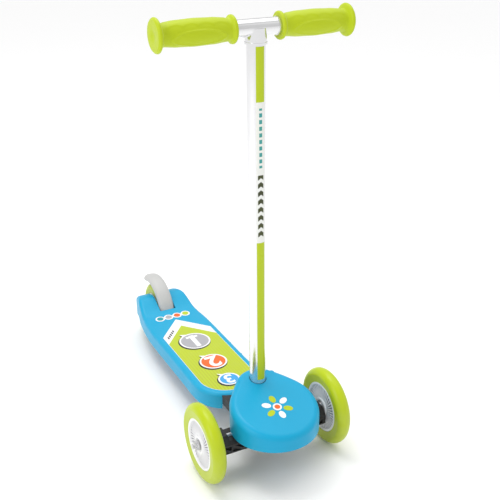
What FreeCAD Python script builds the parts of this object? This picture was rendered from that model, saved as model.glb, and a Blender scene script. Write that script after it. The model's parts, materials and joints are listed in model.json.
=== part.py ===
import FreeCAD, Part
import math
import os
import Sketcher
from FreeCAD import Placement, Rotation, Vector

# Three-wheeled kick scooter that steers by leaning. Millimetres, +Z up, the front faces -Y.
# The origin is on the ground, in the middle of the scooter's overall length and width.

SIZES = {
    # overall layout
    "wheelbase": 464.0,
    "nose_reach": 91.0,
    "track": 212.5,
    "bar_height": 653.4,
    "wall": 3.0,
    "running_gap": 0.3,
    # front and rear wheels
    "front_wheel_radius": 62.5,
    "rear_wheel_radius": 50.0,
    "tyre_width": 22.0,
    "front_rim_radius": 41.0,
    "rear_rim_radius": 31.0,
    "rim_width": 19.0,
    "rim_wall": 4.5,
    "web_thickness": 3.0,
    "boss_radius": 14.5,
    "hub_half_width": 10.0,
    "fin_thickness": 1.3,
    "fin_setback": 1.2,
    "bearing_radius": 11.0,
    "bearing_width": 7.0,
    "axle_radius": 4.0,
    "axle_clearance": 0.04,
    "spacer_radius": 6.0,
    "axle_washer_radius": 8.0,
    "axle_washer_thickness": 1.6,
    "axle_nut_flats": 13.0,
    "axle_nut_height": 6.5,
    "axle_tip": 1.4,
    # steering column and bar
    "column_set_back": 31.8,
    "column_radius": 12.5,
    "tube_wall": 1.5,
    "column_foot": 52.0,
    "column_strip_width": 12.0,
    "sticker_thickness": 0.25,
    "strip_foot_gap": 4.0,
    "bar_radius": 9.5,
    "tee_wall": 1.7,
    "tee_depth": 20.0,
    "tee_ring": 2.5,
    "grip_inner": 31.9,
    "grip_outer": 139.0,
    "grip_flange_inner": 18.4,
    "grip_flange_outer": 21.9,
    "grip_neck": 14.0,
    "grip_belly": 16.8,
    "grip_flange": 5.0,
    "grip_end_wall": 4.0,
    # deck
    "deck_top": 67.0,
    "deck_bottom": 38.0,
    "deck_half_width": 58.0,
    "deck_nose_centre": 150.0,
    "deck_side_end": 330.0,
    "deck_side_sweep": 560.0,
    "deck_tail_start": 470.0,
    "deck_tail_corner": 26.0,
    "deck_tail": 498.0,
    "cheek_start": 390.0,
    "cheek_crest": 448.0,
    "cheek_height": 87.0,
    "slot_half_width": 15.5,
    "slot_front": 408.0,
    "deck_edge_radius": 7.0,
    "rib_thickness": 2.5,
    # front chassis
    "tongue_half_width": 30.0,
    "tongue_length": 92.0,
    "tongue_bottom": 48.0,
    "neck_half_width": 18.0,
    "socket_radius": 17.5,
    "socket_top": 119.0,
    "saddle_half_width": 33.0,
    "saddle_thickness": 4.0,
    # front cover
    "cover_radius": 68.0,
    "cover_rear_radius": 40.0,
    "cover_rear_centre": 20.0,
    "cover_bottom": 73.0,
    "cover_crown": 128.0,
    "cover_slope": 13.6,
    "cover_edge_radius": 11.0,
    # truck and kingpin
    "beam_half_length": 94.0,
    "beam_front": 20.0,
    "beam_rear": 16.0,
    "beam_bottom": 43.0,
    "beam_top": 70.0,
    "beam_waist_top": 64.0,
    "beam_waist": 72.0,
    "kingpin_lean": 45.0,
    "kingpin_forward": 7.0,
    "kingpin_height": 57.0,
    "kingpin_radius": 5.0,
    "barrel_radius": 14.0,
    "barrel_up": 13.0,
    "barrel_down": 12.0,
    "seat_washer": 2.0,
    "seat_boss": 12.0,
    "steering_bush_wall": 3.5,
    # rear fender brake
    "fender_set_back": 8.0,
    "fender_drop": 3.0,
    "fender_radius": 62.0,
    "fender_half_width": 14.5,
    "fender_crown": 2.0,
    "fender_thickness": 2.6,
    "fender_lip": 3.5,
    "fender_start": 14.0,
    "fender_end": 130.0,
    "brake_pivot_forward": 62.0,
    "brake_pivot_height": 56.0,
    "brake_pin_radius": 2.5,
    "knuckle_radius": 5.0,
    "knuckle_half_width": 9.0,
    "brake_pad_gap": 3.0,
    # details of the wheels and axles
    "tyre_crown": 11.2,
    "axle_head": 5.0,
    "axle_head_at": 58.0,
    "axle_head_pocket": 9.0,
    # details of the truck, kingpin and chassis
    "kingpin_clearance": 0.05,
    "kingpin_flats": 16.0,
    "kingpin_head": 6.0,
    "kingpin_washer": 2.0,
    "kingpin_nut_height": 8.0,
    "beam_slope": 11.0,
    "beam_edge_radius": 2.0,
    "beam_relief": 5.0,
    "neck_clearance": 8.0,
    "truss_start": 28.0,
    "truss_rib": 2.5,
    "truss_depth": 4.0,
    "neck_edge": 3.0,
    "neck_top": 66.0,
    "tongue_start": 60.0,
    "saddle_start": 22.0,
    "saddle_length": 30.0,
    "saddle_screw_x": 26.0,
    "saddle_screw_y": 37.0,
    "wing_half_width": 44.0,
    "wing_start": 24.0,
    "wing_thickness": 8.0,
    "block_inner": 30.0,
    "block_width": 12.0,
    "block_bottom": 50.0,
    "block_height": 12.0,
    "screw_radius": 2.0,
    "screw_head_radius": 3.8,
    "screw_head": 2.4,
    "screw_bite": 12.0,
    "deck_screw_x": 20.0,
    "deck_screw_end": 50.0,
    "deck_screw_pitch": 38.0,
    "deck_screw_bite": 1.5,
    "bush_wall": 2.5,
    "bush_length": 12.0,
    "cross_bolt_radius": 2.5,
    "cross_bolt_flats": 8.0,
    "cross_bolt_head": 3.5,
    "cross_bolt_height": 92.0,
    "tee_screw_radius": 2.0,
    "tee_screw_height": 640.0,
    # details of the grips and the cover
    "grip_flare": 3.0,
    "grip_vent": 2.0,
    "grip_edge_radius": 1.8,
    "cover_wall": 2.5,
    "cover_post_radius": 5.0,
    "cover_column_gap": 0.8,
    "badge_radius": 24.0,
    "badge_back": -32.0,
    # details of the deck
    "cheek_back_foot": 56.0,
    "deck_bottom_radius": 1.2,
    "knuckle_room": 14.0,
    "rib_setback": 6.0,
    "rib_start": 158.0,
    "rib_pitch": 44.0,
    "rib_draw_in": 0.1,
    "long_rib_offset": 26.0,
    "sticker_half_width": 47.0,
    "sticker_shoulder": 318.0,
    "sticker_point": 371.0,
    # details of the brake
    "pin_clearance": 0.05,
    "brake_pad_start": 88.0,
    "brake_pad_end": 112.0,
    "spring_wire": 0.7,
    "spring_coil": 4.0,
    "spring_pitch": 1.6,
    "spring_turns": 2.25,
}
FRONT_FINS = 36
REAR_FINS = 28
CROSS_RIBS = 5

doc = FreeCAD.newDocument("kick_scooter")
sheet = doc.addObject("Spreadsheet::Sheet", "Sizes")
for row, (size_name, size_value) in enumerate(SIZES.items(), start=1):
    sheet.set(f"A{row}", size_name)
    sheet.set(f"B{row}", str(size_value))
    sheet.setAlias(f"B{row}", size_name)
doc.recompute()

PARTS = []


def bind(text):
    """Write an expression in sheet aliases, such as "tyre_width / 2", for FreeCAD."""
    words = []
    word = ""
    for letter in str(text) + " ":
        if letter.isalnum() or letter == "_":
            word += letter
            continue
        words.append(f"Sizes.{word}" if word in SIZES else word)
        words.append(letter)
        word = ""
    return "".join(words).strip()


def value(text):
    """Work out an expression in sheet aliases."""
    result = sheet.evalExpression(bind(text))
    return float(getattr(result, "Value", result))


# Places that several pieces share, as expressions in the sheet's sizes.
FRONT_AXLE_Y = "(-(wheelbase + rear_wheel_radius - nose_reach) / 2)"
REAR_AXLE_Y = f"({FRONT_AXLE_Y} + wheelbase)"
COLUMN_Y = f"({FRONT_AXLE_Y} + column_set_back)"
KINGPIN_Y = f"({FRONT_AXLE_Y} - kingpin_forward)"
BRAKE_PIVOT_Y = f"({REAR_AXLE_Y} - brake_pivot_forward)"
FENDER_Y = f"({REAR_AXLE_Y} + fender_set_back)"
FENDER_Z = "(rear_wheel_radius - fender_drop)"
BEARING_BORE = "(axle_radius + axle_clearance)"


def ahead(distance):
    """Give the row's y of a point that lies so far behind the front axle."""
    return f"({FRONT_AXLE_Y} + {distance})"


def keep(item):
    """Mark an object as one of the scooter's sub-parts."""
    PARTS.append(item)
    return item


def new_body(label):
    body = doc.addObject("PartDesign::Body", label)
    body.Label = label
    return body


def place(item, x="0", y="0", z="0", direction=None, turn=0.0):
    """Stand an object's local +Z along a direction and bind its position to the sheet."""
    rotation = Rotation(Vector(0, 0, 1), Vector(*direction)) if direction else Rotation()
    if turn:
        rotation = rotation.multiply(Rotation(Vector(0, 0, 1), turn))
    item.Placement = Placement(Vector(value(x), value(y), value(z)), rotation)
    for key, text in (("x", x), ("y", y), ("z", z)):
        item.setExpression(f"Placement.Base.{key}", bind(text))
    return item


def new_sketch(body, role, name, offset=None):
    """Start a sketch on one of the body's own origin planes."""
    sketch = body.newObject("Sketcher::SketchObject", f"{body.Name}_{name}")
    plane = next(item for item in body.Origin.OriginFeatures if item.Role == role)
    sketch.AttachmentSupport = [(plane, "")]
    sketch.MapMode = "FlatFace"
    if offset is not None:
        sketch.setExpression("AttachmentOffset.Base.z", bind(offset))
    return sketch


def pin_point(sketch, geometry, end, across, up):
    """Dimension one end of a sketch edge from the sketch's origin."""
    for kind, text in (("DistanceX", across), ("DistanceY", up)):
        number = sketch.addConstraint(Sketcher.Constraint(kind, -1, 1, geometry, end, value(text)))
        sketch.setExpression(f"Constraints[{number}]", bind(text))


def arc_between(start, end, radius, side):
    """Give the arc from start to end: side 1 bulges to the left of the way, -1 to the right."""
    chord = end.sub(start)
    half = chord.Length / 2
    rise = math.sqrt(max(radius ** 2 - half ** 2, 0.0))
    left = Vector(-chord.y, chord.x, 0).normalize()
    centre = start.add(chord.multiply(0.5)).sub(left.multiply(side * rise))
    first, last = (end, start) if side > 0 else (start, end)
    angles = [math.atan2(point.y - centre.y, point.x - centre.x) for point in (first, last)]
    return Part.ArcOfCircle(Part.Circle(centre, Vector(0, 0, 1), radius), *angles), side > 0


def draw_loop(sketch, points):
    """Draw a closed outline.

    Each point is (across, up) or (across, up, radius, side), where the last two make the edge
    that leaves the point an arc. Every corner is dimensioned from the origin.
    """
    corners = [Vector(value(point[0]), value(point[1]), 0) for point in points]
    edges = []
    for number, point in enumerate(points):
        start, end = corners[number], corners[(number + 1) % len(points)]
        if len(point) == 2:
            edges.append((sketch.addGeometry(Part.LineSegment(start, end), False), 1, 2))
            continue
        arc, swapped = arc_between(start, end, value(point[2]), point[3])
        index = sketch.addGeometry(arc, False)
        edges.append((index, 2, 1) if swapped else (index, 1, 2))
        radius = sketch.addConstraint(Sketcher.Constraint("Radius", index, value(point[2])))
        sketch.setExpression(f"Constraints[{radius}]", bind(point[2]))
    for number, (index, first, _) in enumerate(edges):
        before, _, last = edges[number - 1]
        sketch.addConstraint(Sketcher.Constraint("Coincident", before, last, index, first))
        pin_point(sketch, index, first, points[number][0], points[number][1])


def draw_circle(sketch, across, up, radius):
    """Draw a circle with its centre and radius bound to the sheet."""
    centre = Vector(value(across), value(up), 0)
    index = sketch.addGeometry(Part.Circle(centre, Vector(0, 0, 1), value(radius)), False)
    number = sketch.addConstraint(Sketcher.Constraint("Radius", index, value(radius)))
    sketch.setExpression(f"Constraints[{number}]", bind(radius))
    pin_point(sketch, index, 3, across, up)


def draw_hexagon(sketch, flats):
    """Draw a hexagon about the origin from its width across the flats."""
    points = []
    for corner in range(6):
        across, up = math.cos(math.radians(60 * corner)), math.sin(math.radians(60 * corner))
        points.append((f"{flats} / sqrt(3) * {across:.6f}", f"{flats} / sqrt(3) * {up:.6f}"))
    draw_loop(sketch, points)


def pad(body, sketch, length, midplane=False, reverse=False):
    feature = body.newObject("PartDesign::Pad", f"{sketch.Name}_pad")
    feature.Profile = sketch
    feature.setExpression("Length", bind(length))
    feature.Midplane = midplane
    feature.Reversed = reverse
    feature.Refine = False
    return feature


def pocket(body, sketch, length, midplane=False, reverse=False):
    """Cut a sketch out of the body, and check that the cut took something away."""
    doc.recompute()
    before = body.Shape.Volume
    feature = body.newObject("PartDesign::Pocket", f"{sketch.Name}_pocket")
    feature.Profile = sketch
    feature.setExpression("Length", bind(length))
    feature.Midplane = midplane
    feature.Reversed = reverse
    feature.Refine = False
    doc.recompute()
    if not body.Shape.Volume < before - 1e-3:
        raise RuntimeError(f"{sketch.Name} cuts nothing")
    return feature


def turned(label, profile):
    """Turn a closed (radius, height) profile about the local Z axis."""
    body = new_body(label)
    sketch = new_sketch(body, "XZ_Plane", "profile")
    draw_loop(sketch, profile)
    feature = body.newObject("PartDesign::Revolution", f"{label}_turn")
    feature.Profile = sketch
    feature.ReferenceAxis = (sketch, ["V_Axis"])
    feature.Angle = 360
    return body


def ring(label, inner, outer, low, high):
    """Make a plain ring or sleeve about the local Z axis."""
    return turned(label, [(inner, low), (outer, low), (outer, high), (inner, high)])


def fillet(body, name, radius, chosen):
    """Round the edges of the body that a test picks."""
    doc.recompute()
    base = body.Tip
    names = [f"Edge{n}" for n, edge in enumerate(base.Shape.Edges, start=1) if chosen(edge)]
    if not names:
        raise RuntimeError(f"{name} finds no edge to round")
    feature = body.newObject("PartDesign::Fillet", f"{body.Name}_{name}")
    feature.Base = (base, names)
    feature.setExpression("Radius", bind(radius))
    doc.recompute()
    return feature


def boolean(kind, label, base, *tools):
    """Cut or fuse whole objects in turn, and give the last result its label."""
    result = base
    for number, tool in enumerate(tools, start=1):
        step = doc.addObject(f"Part::{kind}", f"{label}_{kind.lower()}_{number}")
        step.Base = result
        step.Tool = tool
        result = step
    result.Label = label
    doc.recompute()
    return result


def rod(name, radius, length, x="0", y="0", z="0", direction=None):
    """Make a plain cylinder for a boolean, from a base point along a direction."""
    item = doc.addObject("Part::Cylinder", name)
    item.setExpression("Radius", bind(radius))
    item.setExpression("Height", bind(length))
    return place(item, x, y, z, direction)


def block(name, low, high):
    """Make a plain box for a boolean, from its lowest to its highest corner."""
    item = doc.addObject("Part::Box", name)
    for key, axis in (("Length", 0), ("Width", 1), ("Height", 2)):
        item.setExpression(key, bind(f"({high[axis]}) - ({low[axis]})"))
    return place(item, *low)


def solid_of(label, shape):
    """Keep a shape that Part's own functions made."""
    item = doc.addObject("Part::Feature", label)
    item.Label = label
    item.Shape = shape
    return item


def copies(label, item, places):
    """Group identical pieces: separate solids that share one node."""
    doc.recompute()
    shapes = []
    for position in places:
        shape = item.Shape.copy()
        shape.Placement = position.multiply(item.Placement)
        shapes.append(shape)
    return solid_of(label, Part.makeCompound(shapes))


def bolt(label, radius, flats, head, start, end):
    """Make a hex bolt along local Z: the head lies below start, and the shaft runs to end."""
    body = new_body(label)
    shaft = new_sketch(body, "XY_Plane", "shaft", start)
    draw_circle(shaft, "0", "0", radius)
    pad(body, shaft, f"({end}) - ({start})")
    hexagon = new_sketch(body, "XY_Plane", "head", start)
    draw_hexagon(hexagon, flats)
    pad(body, hexagon, head, reverse=True)
    fillet(body, "head_edge", "0.6", lambda edge: abs(edge.BoundBox.ZMin - value(f"({start}) - ({head})")) < 1e-3
           and edge.BoundBox.ZLength < 1e-3)
    return body


def nut(label, radius, flats, low, high):
    """Make a hex nut along local Z."""
    body = new_body(label)
    hexagon = new_sketch(body, "XY_Plane", "flats", low)
    draw_hexagon(hexagon, flats)
    pad(body, hexagon, f"({high}) - ({low})")
    hole = new_sketch(body, "XY_Plane", "hole", low)
    draw_circle(hole, "0", "0", radius)
    pocket(body, hole, f"({high}) - ({low})", reverse=True)
    return body


def pan_screw(label, radius, head_radius, head, length):
    """Make a screw along local Z: a domed head below zero and a shaft above it."""
    return turned(label, [("0", f"-({head})"), (f"{head_radius} * 0.6", f"-({head})"),
                          (head_radius, f"-({head}) * 0.35"), (head_radius, "0"), (radius, "0"),
                          (radius, length), ("0", length)])


def wheel(side, x, y, z, direction, radius, rim, fins):
    """Build one wheel along local Z, from its middle plane: tyre, hub, bearings and spacer."""
    shoulder = f"({radius} - tyre_crown + sqrt(tyre_crown ^ 2 - (tyre_width / 2) ^ 2))"
    seat = "(hub_half_width - bearing_width)"
    well = f"({rim} - rim_wall)"
    tyre = turned(f"{side}_tyre", [
        (rim, "-rim_width / 2"), (shoulder, "-tyre_width / 2", "tyre_crown", -1),
        (shoulder, "tyre_width / 2"), (rim, "rim_width / 2")])
    hub = turned(f"{side}_hub", [
        ("bearing_radius", "-hub_half_width"), ("boss_radius", "-hub_half_width"), ("boss_radius", "0"),
        (well, "0"), (well, "-rim_width / 2"), (rim, "-rim_width / 2"), (rim, "rim_width / 2"),
        (well, "rim_width / 2"), (well, "web_thickness"), ("boss_radius", "web_thickness"),
        ("boss_radius", "hub_half_width"), ("bearing_radius", "hub_half_width"), ("bearing_radius", seat),
        ("spacer_radius + 2", seat), ("spacer_radius + 2", f"-{seat}"), ("bearing_radius", f"-{seat}")])
    fin = new_sketch(hub, "XZ_Plane", "fin")
    draw_loop(fin, [("boss_radius - 0.5", "web_thickness - 0.5"), (f"{well} + 0.5", "web_thickness - 0.5"),
                    (f"{well} + 0.5", "rim_width / 2 - fin_setback"),
                    ("boss_radius - 0.5", "hub_half_width - fin_setback")])
    fin_pad = pad(hub, fin, "fin_thickness", midplane=True)
    doc.recompute()
    pattern = hub.newObject("PartDesign::PolarPattern", f"{side}_fins")
    pattern.Originals = [fin_pad]
    pattern.Axis = (fin, ["V_Axis"])
    pattern.Angle = 360
    pattern.Occurrences = fins
    pattern.Refine = False
    hub.Tip = pattern
    inner = ring(f"{side}_inner_bearing", BEARING_BORE, "bearing_radius", "-hub_half_width", f"-{seat}")
    outer = ring(f"{side}_outer_bearing", BEARING_BORE, "bearing_radius", seat, "hub_half_width")
    spacer = ring(f"{side}_bearing_spacer", BEARING_BORE, "spacer_radius", f"-{seat}", seat)
    for item in (tyre, hub, inner, outer, spacer):
        keep(place(item, x, y, z, direction))


# Wheels. The left of the rider is +X.
wheel("left", "track / 2", FRONT_AXLE_Y, "front_wheel_radius", (1, 0, 0),
      "front_wheel_radius", "front_rim_radius", FRONT_FINS)
wheel("right", "-track / 2", FRONT_AXLE_Y, "front_wheel_radius", (-1, 0, 0),
      "front_wheel_radius", "front_rim_radius", FRONT_FINS)
wheel("rear", "0", REAR_AXLE_Y, "rear_wheel_radius", (1, 0, 0),
      "rear_wheel_radius", "rear_rim_radius", REAR_FINS)


# Front axle hardware, made for the left side and turned half round for the right.
HALF_TURN = Placement(Vector(), Rotation(Vector(0, 0, 1), 180), Vector(0, value(FRONT_AXLE_Y), 0))
BOTH_SIDES = [Placement(), HALF_TURN]
WASHER_START = "(track / 2 + hub_half_width + running_gap)"
NUT_START = f"({WASHER_START} + axle_washer_thickness)"
AXLE_END = f"({NUT_START} + axle_nut_height + axle_tip)"


def front_axle_set(label, item):
    """Place a left-hand axle piece along +X, and keep it with its right-hand twin."""
    place(item, "0", FRONT_AXLE_Y, "front_wheel_radius", (1, 0, 0))
    keep(copies(label, item, BOTH_SIDES))


front_axle_set("front_axle_bolts", bolt("axle_bolt", "axle_radius", "axle_nut_flats", "axle_head",
                                        "axle_head_at", AXLE_END))
front_axle_set("front_axle_spacers", ring("axle_spacer", "axle_radius", "axle_washer_radius",
                                          "beam_half_length", "track / 2 - hub_half_width - running_gap"))
front_axle_set("front_axle_washers", ring("axle_washer", "axle_radius", "axle_washer_radius",
                                          WASHER_START, NUT_START))
front_axle_set("front_axle_nuts", nut("axle_nut", "axle_radius", "axle_nut_flats", NUT_START,
                                      f"{NUT_START} + axle_nut_height"))


# Kingpin: its axis leans forward at the top and passes through one point of the beam.
LEAN_SIN = "sin(kingpin_lean)"
LEAN_COS = "cos(kingpin_lean)"
UP_FORWARD = (0.0, -math.sin(math.radians(value("kingpin_lean"))), math.cos(math.radians(value("kingpin_lean"))))
DOWN_BACK = tuple(-part for part in UP_FORWARD)
SEAT_START = "(barrel_down + running_gap + seat_washer)"
SEAT_END = f"({SEAT_START} + seat_boss)"
BUSH_BORE = "(kingpin_radius + kingpin_clearance)"


def off_kingpin(down, across):
    """Give (y behind the front axle, z) of a point so far down the kingpin and across it, to the rear."""
    return (f"-kingpin_forward + ({down}) * {LEAN_SIN} + ({across}) * {LEAN_COS}",
            f"kingpin_height - ({down}) * {LEAN_COS} + ({across}) * {LEAN_SIN}")


def kingpin_rod(name, radius, start, length):
    """Make a rod down the kingpin's axis, from so far below its middle."""
    y, z = off_kingpin(start, "0")
    return rod(name, radius, length, "0", ahead(f"({y})"), z, DOWN_BACK)


def on_kingpin(item):
    return keep(place(item, "0", KINGPIN_Y, "kingpin_height", UP_FORWARD))


on_kingpin(bolt("kingpin_bolt", "kingpin_radius", "kingpin_flats", "kingpin_head", f"-{SEAT_END}",
                "barrel_up + running_gap + kingpin_washer + kingpin_nut_height + 2"))
on_kingpin(ring("kingpin_seat_washer", "kingpin_radius", "barrel_radius - 1",
                f"-{SEAT_START}", "-(barrel_down + running_gap)"))
on_kingpin(ring("kingpin_top_washer", "kingpin_radius", "barrel_radius - 2",
                "barrel_up + running_gap", "barrel_up + running_gap + kingpin_washer"))
on_kingpin(nut("kingpin_nut", "kingpin_radius", "kingpin_flats",
               "barrel_up + running_gap + kingpin_washer",
               "barrel_up + running_gap + kingpin_washer + kingpin_nut_height"))
on_kingpin(ring("steering_bush", BUSH_BORE, f"{BUSH_BORE} + steering_bush_wall", "-barrel_down", "barrel_up"))


# Truck beam: a black moulding with a trussed front face, a low waist under the cover and a slanted barrel.
beam = new_body("beam_block")
profile = new_sketch(beam, "YZ_Plane", "profile")
draw_loop(profile, [("-beam_front", "beam_bottom"), ("beam_rear", "beam_bottom"), ("beam_rear", "beam_top"),
                    ("-beam_front + beam_slope", "beam_top"), ("-beam_front", "beam_top - beam_slope")])
pad(beam, profile, "2 * beam_half_length", midplane=True)
fillet(beam, "long_edges", "beam_edge_radius", lambda edge: edge.BoundBox.XLength > 100)
waist = new_sketch(beam, "YZ_Plane", "waist")
draw_loop(waist, [("-beam_front - 5", "beam_waist_top"), ("beam_rear + 5", "beam_waist_top"),
                  ("beam_rear + 5", "beam_top + 5"), ("-beam_front - 5", "beam_top + 5")])
pocket(beam, waist, "2 * beam_waist", midplane=True)
relief = new_sketch(beam, "YZ_Plane", "relief")
draw_loop(relief, [("beam_rear - beam_relief", "beam_bottom - 5"), ("beam_rear + 5", "beam_bottom - 5"),
                   ("beam_rear + 5", "beam_top + 5"), ("beam_rear - beam_relief", "beam_top + 5")])
pocket(beam, relief, "2 * (neck_half_width + neck_clearance)", midplane=True)
seat = new_sketch(beam, "YZ_Plane", "seat")
draw_loop(seat, [off_kingpin("barrel_down", "-60"), off_kingpin("barrel_down + 60", "-60"),
                 off_kingpin("barrel_down + 60", "60"), off_kingpin("barrel_down", "60")])
pocket(beam, seat, "2 * (neck_half_width + neck_clearance)", midplane=True)
truss = new_sketch(beam, "XZ_Plane", "truss", "beam_front")
BAY = "((beam_half_length - 5 - truss_start) / 3)"
for side in (1, -1):
    for bay in range(3):
        near = f"{side} * (truss_start + {BAY} * {bay} + truss_rib)"
        far = f"{side} * (truss_start + {BAY} * {bay + 1})"
        near_low = f"{side} * (truss_start + {BAY} * {bay} + 2.4 * truss_rib)"
        far_high = f"{side} * (truss_start + {BAY} * {bay + 1} - 1.4 * truss_rib)"
        low, high = "beam_bottom + truss_rib", "beam_top - beam_slope - truss_rib"
        draw_loop(truss, [(near_low, low), (far, low), (far, f"{high} - 1.0 * truss_rib")])
        draw_loop(truss, [(near, f"{low} + 1.0 * truss_rib"), (far_high, high), (near, high)])
pocket(beam, truss, "truss_depth")
barrel = kingpin_rod("barrel", "barrel_radius", "-barrel_up", "barrel_up + barrel_down")
bore = kingpin_rod("barrel_bore", f"{BUSH_BORE} + steering_bush_wall", "-barrel_up - 5", "barrel_up + barrel_down + 10")
place(beam, "0", FRONT_AXLE_Y, "0")
solid_beam = boolean("Fuse", "solid_beam", beam, barrel)
cuts = [bore]
for side, direction in (("left", (1, 0, 0)), ("right", (-1, 0, 0))):
    sign = direction[0]
    cuts.append(rod(f"{side}_axle_hole", "axle_radius", "beam_half_length - axle_head_at + 20",
                    f"{sign} * (axle_head_at - 10)", FRONT_AXLE_Y, "front_wheel_radius", direction))
    ends = sorted([f"{sign} * (axle_head_at - axle_head - 6)", f"{sign} * axle_head_at"], key=value)
    cuts.append(block(f"{side}_head_pocket",
                      (ends[0], ahead("-axle_head_pocket"), "beam_bottom - 2"),
                      (ends[1], ahead("axle_head_pocket"), "front_wheel_radius + axle_nut_flats / 2 + 0.4")))
keep(boolean("Cut", "truck_beam", solid_beam, *cuts))


# Front chassis: tongue under the deck, neck with the slanted kingpin seat, column socket and saddle.
neck = new_body("neck")
profile = new_sketch(neck, "YZ_Plane", "profile")
draw_loop(profile, [off_kingpin(SEAT_START, "1 - barrel_radius + neck_edge"),
                    off_kingpin(SEAT_START, "barrel_radius - neck_edge"),
                    ("beam_rear - neck_edge / 4", "beam_waist_top"), ("beam_rear - neck_edge / 4", "neck_top"),
                    ("tongue_start + 10", "neck_top"), ("tongue_start + 10", "tongue_bottom - 4"),
                    ("column_set_back", "deck_bottom"), off_kingpin(SEAT_END, "neck_edge - barrel_radius")])
pad(neck, profile, "2 * neck_half_width", midplane=True)
place(neck, "0", FRONT_AXLE_Y, "0")
tongue = block("tongue", ("-tongue_half_width", ahead("tongue_start"), "tongue_bottom"),
               ("tongue_half_width", ahead("tongue_start + tongue_length"), "deck_top - wall"))
saddle = block("saddle", ("-saddle_half_width", ahead("saddle_start"), "cover_bottom - saddle_thickness"),
               ("saddle_half_width", ahead("saddle_start + saddle_length"), "cover_bottom"))
riser = block("riser", ("-neck_half_width", ahead("saddle_start"), "neck_top - 1"),
              ("neck_half_width", ahead("saddle_start + saddle_length"), "cover_bottom"))
wings = block("wings", ("-wing_half_width", ahead("wing_start"), "tongue_bottom"),
              ("wing_half_width", ahead("wing_start + wing_thickness"), "neck_top"))
socket = rod("socket", "socket_radius", "socket_top - deck_bottom - 5", "0", COLUMN_Y, "deck_bottom + 5")
seat_boss = kingpin_rod("seat_boss", "barrel_radius", SEAT_START, "seat_boss")
chassis = boolean("Fuse", "chassis_body", neck, tongue, saddle, riser, wings, socket, seat_boss)

SADDLE_SCREWS = [("saddle_screw_x", "saddle_screw_y"), ("-saddle_screw_x", "saddle_screw_y")]
DECK_SCREWS = [(f"{side} * deck_screw_x", f"tongue_start + tongue_length - {back}")
               for side in (1, -1) for back in ("deck_screw_end", "(deck_screw_end - deck_screw_pitch)")]
CROSS_BOLT_Z = "cross_bolt_height"
cuts = [rod("socket_bore", "column_radius", "socket_top", "0", COLUMN_Y, "column_foot"),
        rod("bush_seat", "column_radius + bush_wall", "socket_top", "0", COLUMN_Y, "socket_top - bush_length"),
        kingpin_rod("kingpin_hole", "kingpin_radius", SEAT_START + " - 5", "seat_boss + 20"),
        kingpin_rod("washer_room", "barrel_radius + 0.5", SEAT_START + " - 3", "3"),
        kingpin_rod("kingpin_head_room", "kingpin_flats / sqrt(3) + 1.2", SEAT_END, "60"),
        rod("cross_bolt_hole", "cross_bolt_radius", "2 * socket_radius + 10", "0",
            f"{COLUMN_Y} - socket_radius - 5", CROSS_BOLT_Z, (0, 1, 0))]
for number, (x, y) in enumerate(SADDLE_SCREWS):
    cuts.append(rod(f"saddle_screw_hole_{number}", "screw_radius", "saddle_thickness + 4", x, ahead(f"({y})"),
                    "cover_bottom - saddle_thickness - 2"))
for number, (x, y) in enumerate(DECK_SCREWS):
    cuts.append(rod(f"deck_screw_hole_{number}", "screw_radius", "deck_top", x, ahead(f"({y})"),
                    "tongue_bottom - 2"))
keep(boolean("Cut", "front_chassis", chassis, *cuts))

for side, sign in (("left", 1), ("right", -1)):
    ends = sorted([f"{sign} * block_inner", f"{sign} * (block_inner + block_width)"], key=value)
    keep(block(f"{side}_centring_block", (ends[0], ahead("beam_rear + running_gap"), "block_bottom"),
               (ends[1], ahead("wing_start"), "block_bottom + block_height")))


# Column, bush and the bolt across the socket.
tube = ring("column_sleeve", "column_radius - tube_wall", "column_radius", "column_foot",
            "bar_height - bar_radius - 1")
place(tube, "0", COLUMN_Y, "0")
tube_cuts = [rod("tube_cross_hole", "cross_bolt_radius", "3 * column_radius", "0",
                 f"{COLUMN_Y} - 1.5 * column_radius", CROSS_BOLT_Z, (0, 1, 0)),
             rod("tube_tee_hole", "tee_screw_radius", "column_radius + 5", "0", COLUMN_Y, "tee_screw_height",
                 (0, 1, 0))]
keep(boolean("Cut", "column_tube", tube, *tube_cuts))
bush = ring("column_bush", "column_radius", "column_radius + bush_wall", "socket_top - bush_length", "socket_top")
keep(place(bush, "0", COLUMN_Y, "0"))
column_bolt = bolt("column_bolt", "cross_bolt_radius", "cross_bolt_flats", "cross_bolt_head", "-socket_radius",
                   "socket_radius + cross_bolt_head + 2.5")
keep(place(column_bolt, "0", COLUMN_Y, CROSS_BOLT_Z, (0, 1, 0)))
column_nut = nut("column_nut", "cross_bolt_radius", "cross_bolt_flats", "socket_radius",
                 "socket_radius + cross_bolt_head + 1")
keep(place(column_nut, "0", COLUMN_Y, CROSS_BOLT_Z, (0, 1, 0)))

strip = new_body("column_strip")
strip_plan = new_sketch(strip, "XY_Plane", "plan", "cover_crown + strip_foot_gap")
EDGE_Y = "sqrt({radius} ^ 2 - (column_strip_width / 2) ^ 2)"
inner_y = EDGE_Y.format(radius="column_radius")
outer_radius = "(column_radius + sticker_thickness)"
outer_y = EDGE_Y.format(radius=outer_radius)
draw_loop(strip_plan, [("-column_strip_width / 2", f"-{inner_y}", "column_radius", -1),
                       ("column_strip_width / 2", f"-{inner_y}"), ("column_strip_width / 2", f"-{outer_y}",
                                                                   outer_radius, 1),
                       ("-column_strip_width / 2", f"-{outer_y}")])
pad(strip, strip_plan, "bar_height - tee_depth - 2 - cover_crown - strip_foot_gap")
keep(place(strip, "0", COLUMN_Y, "0"))


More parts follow.
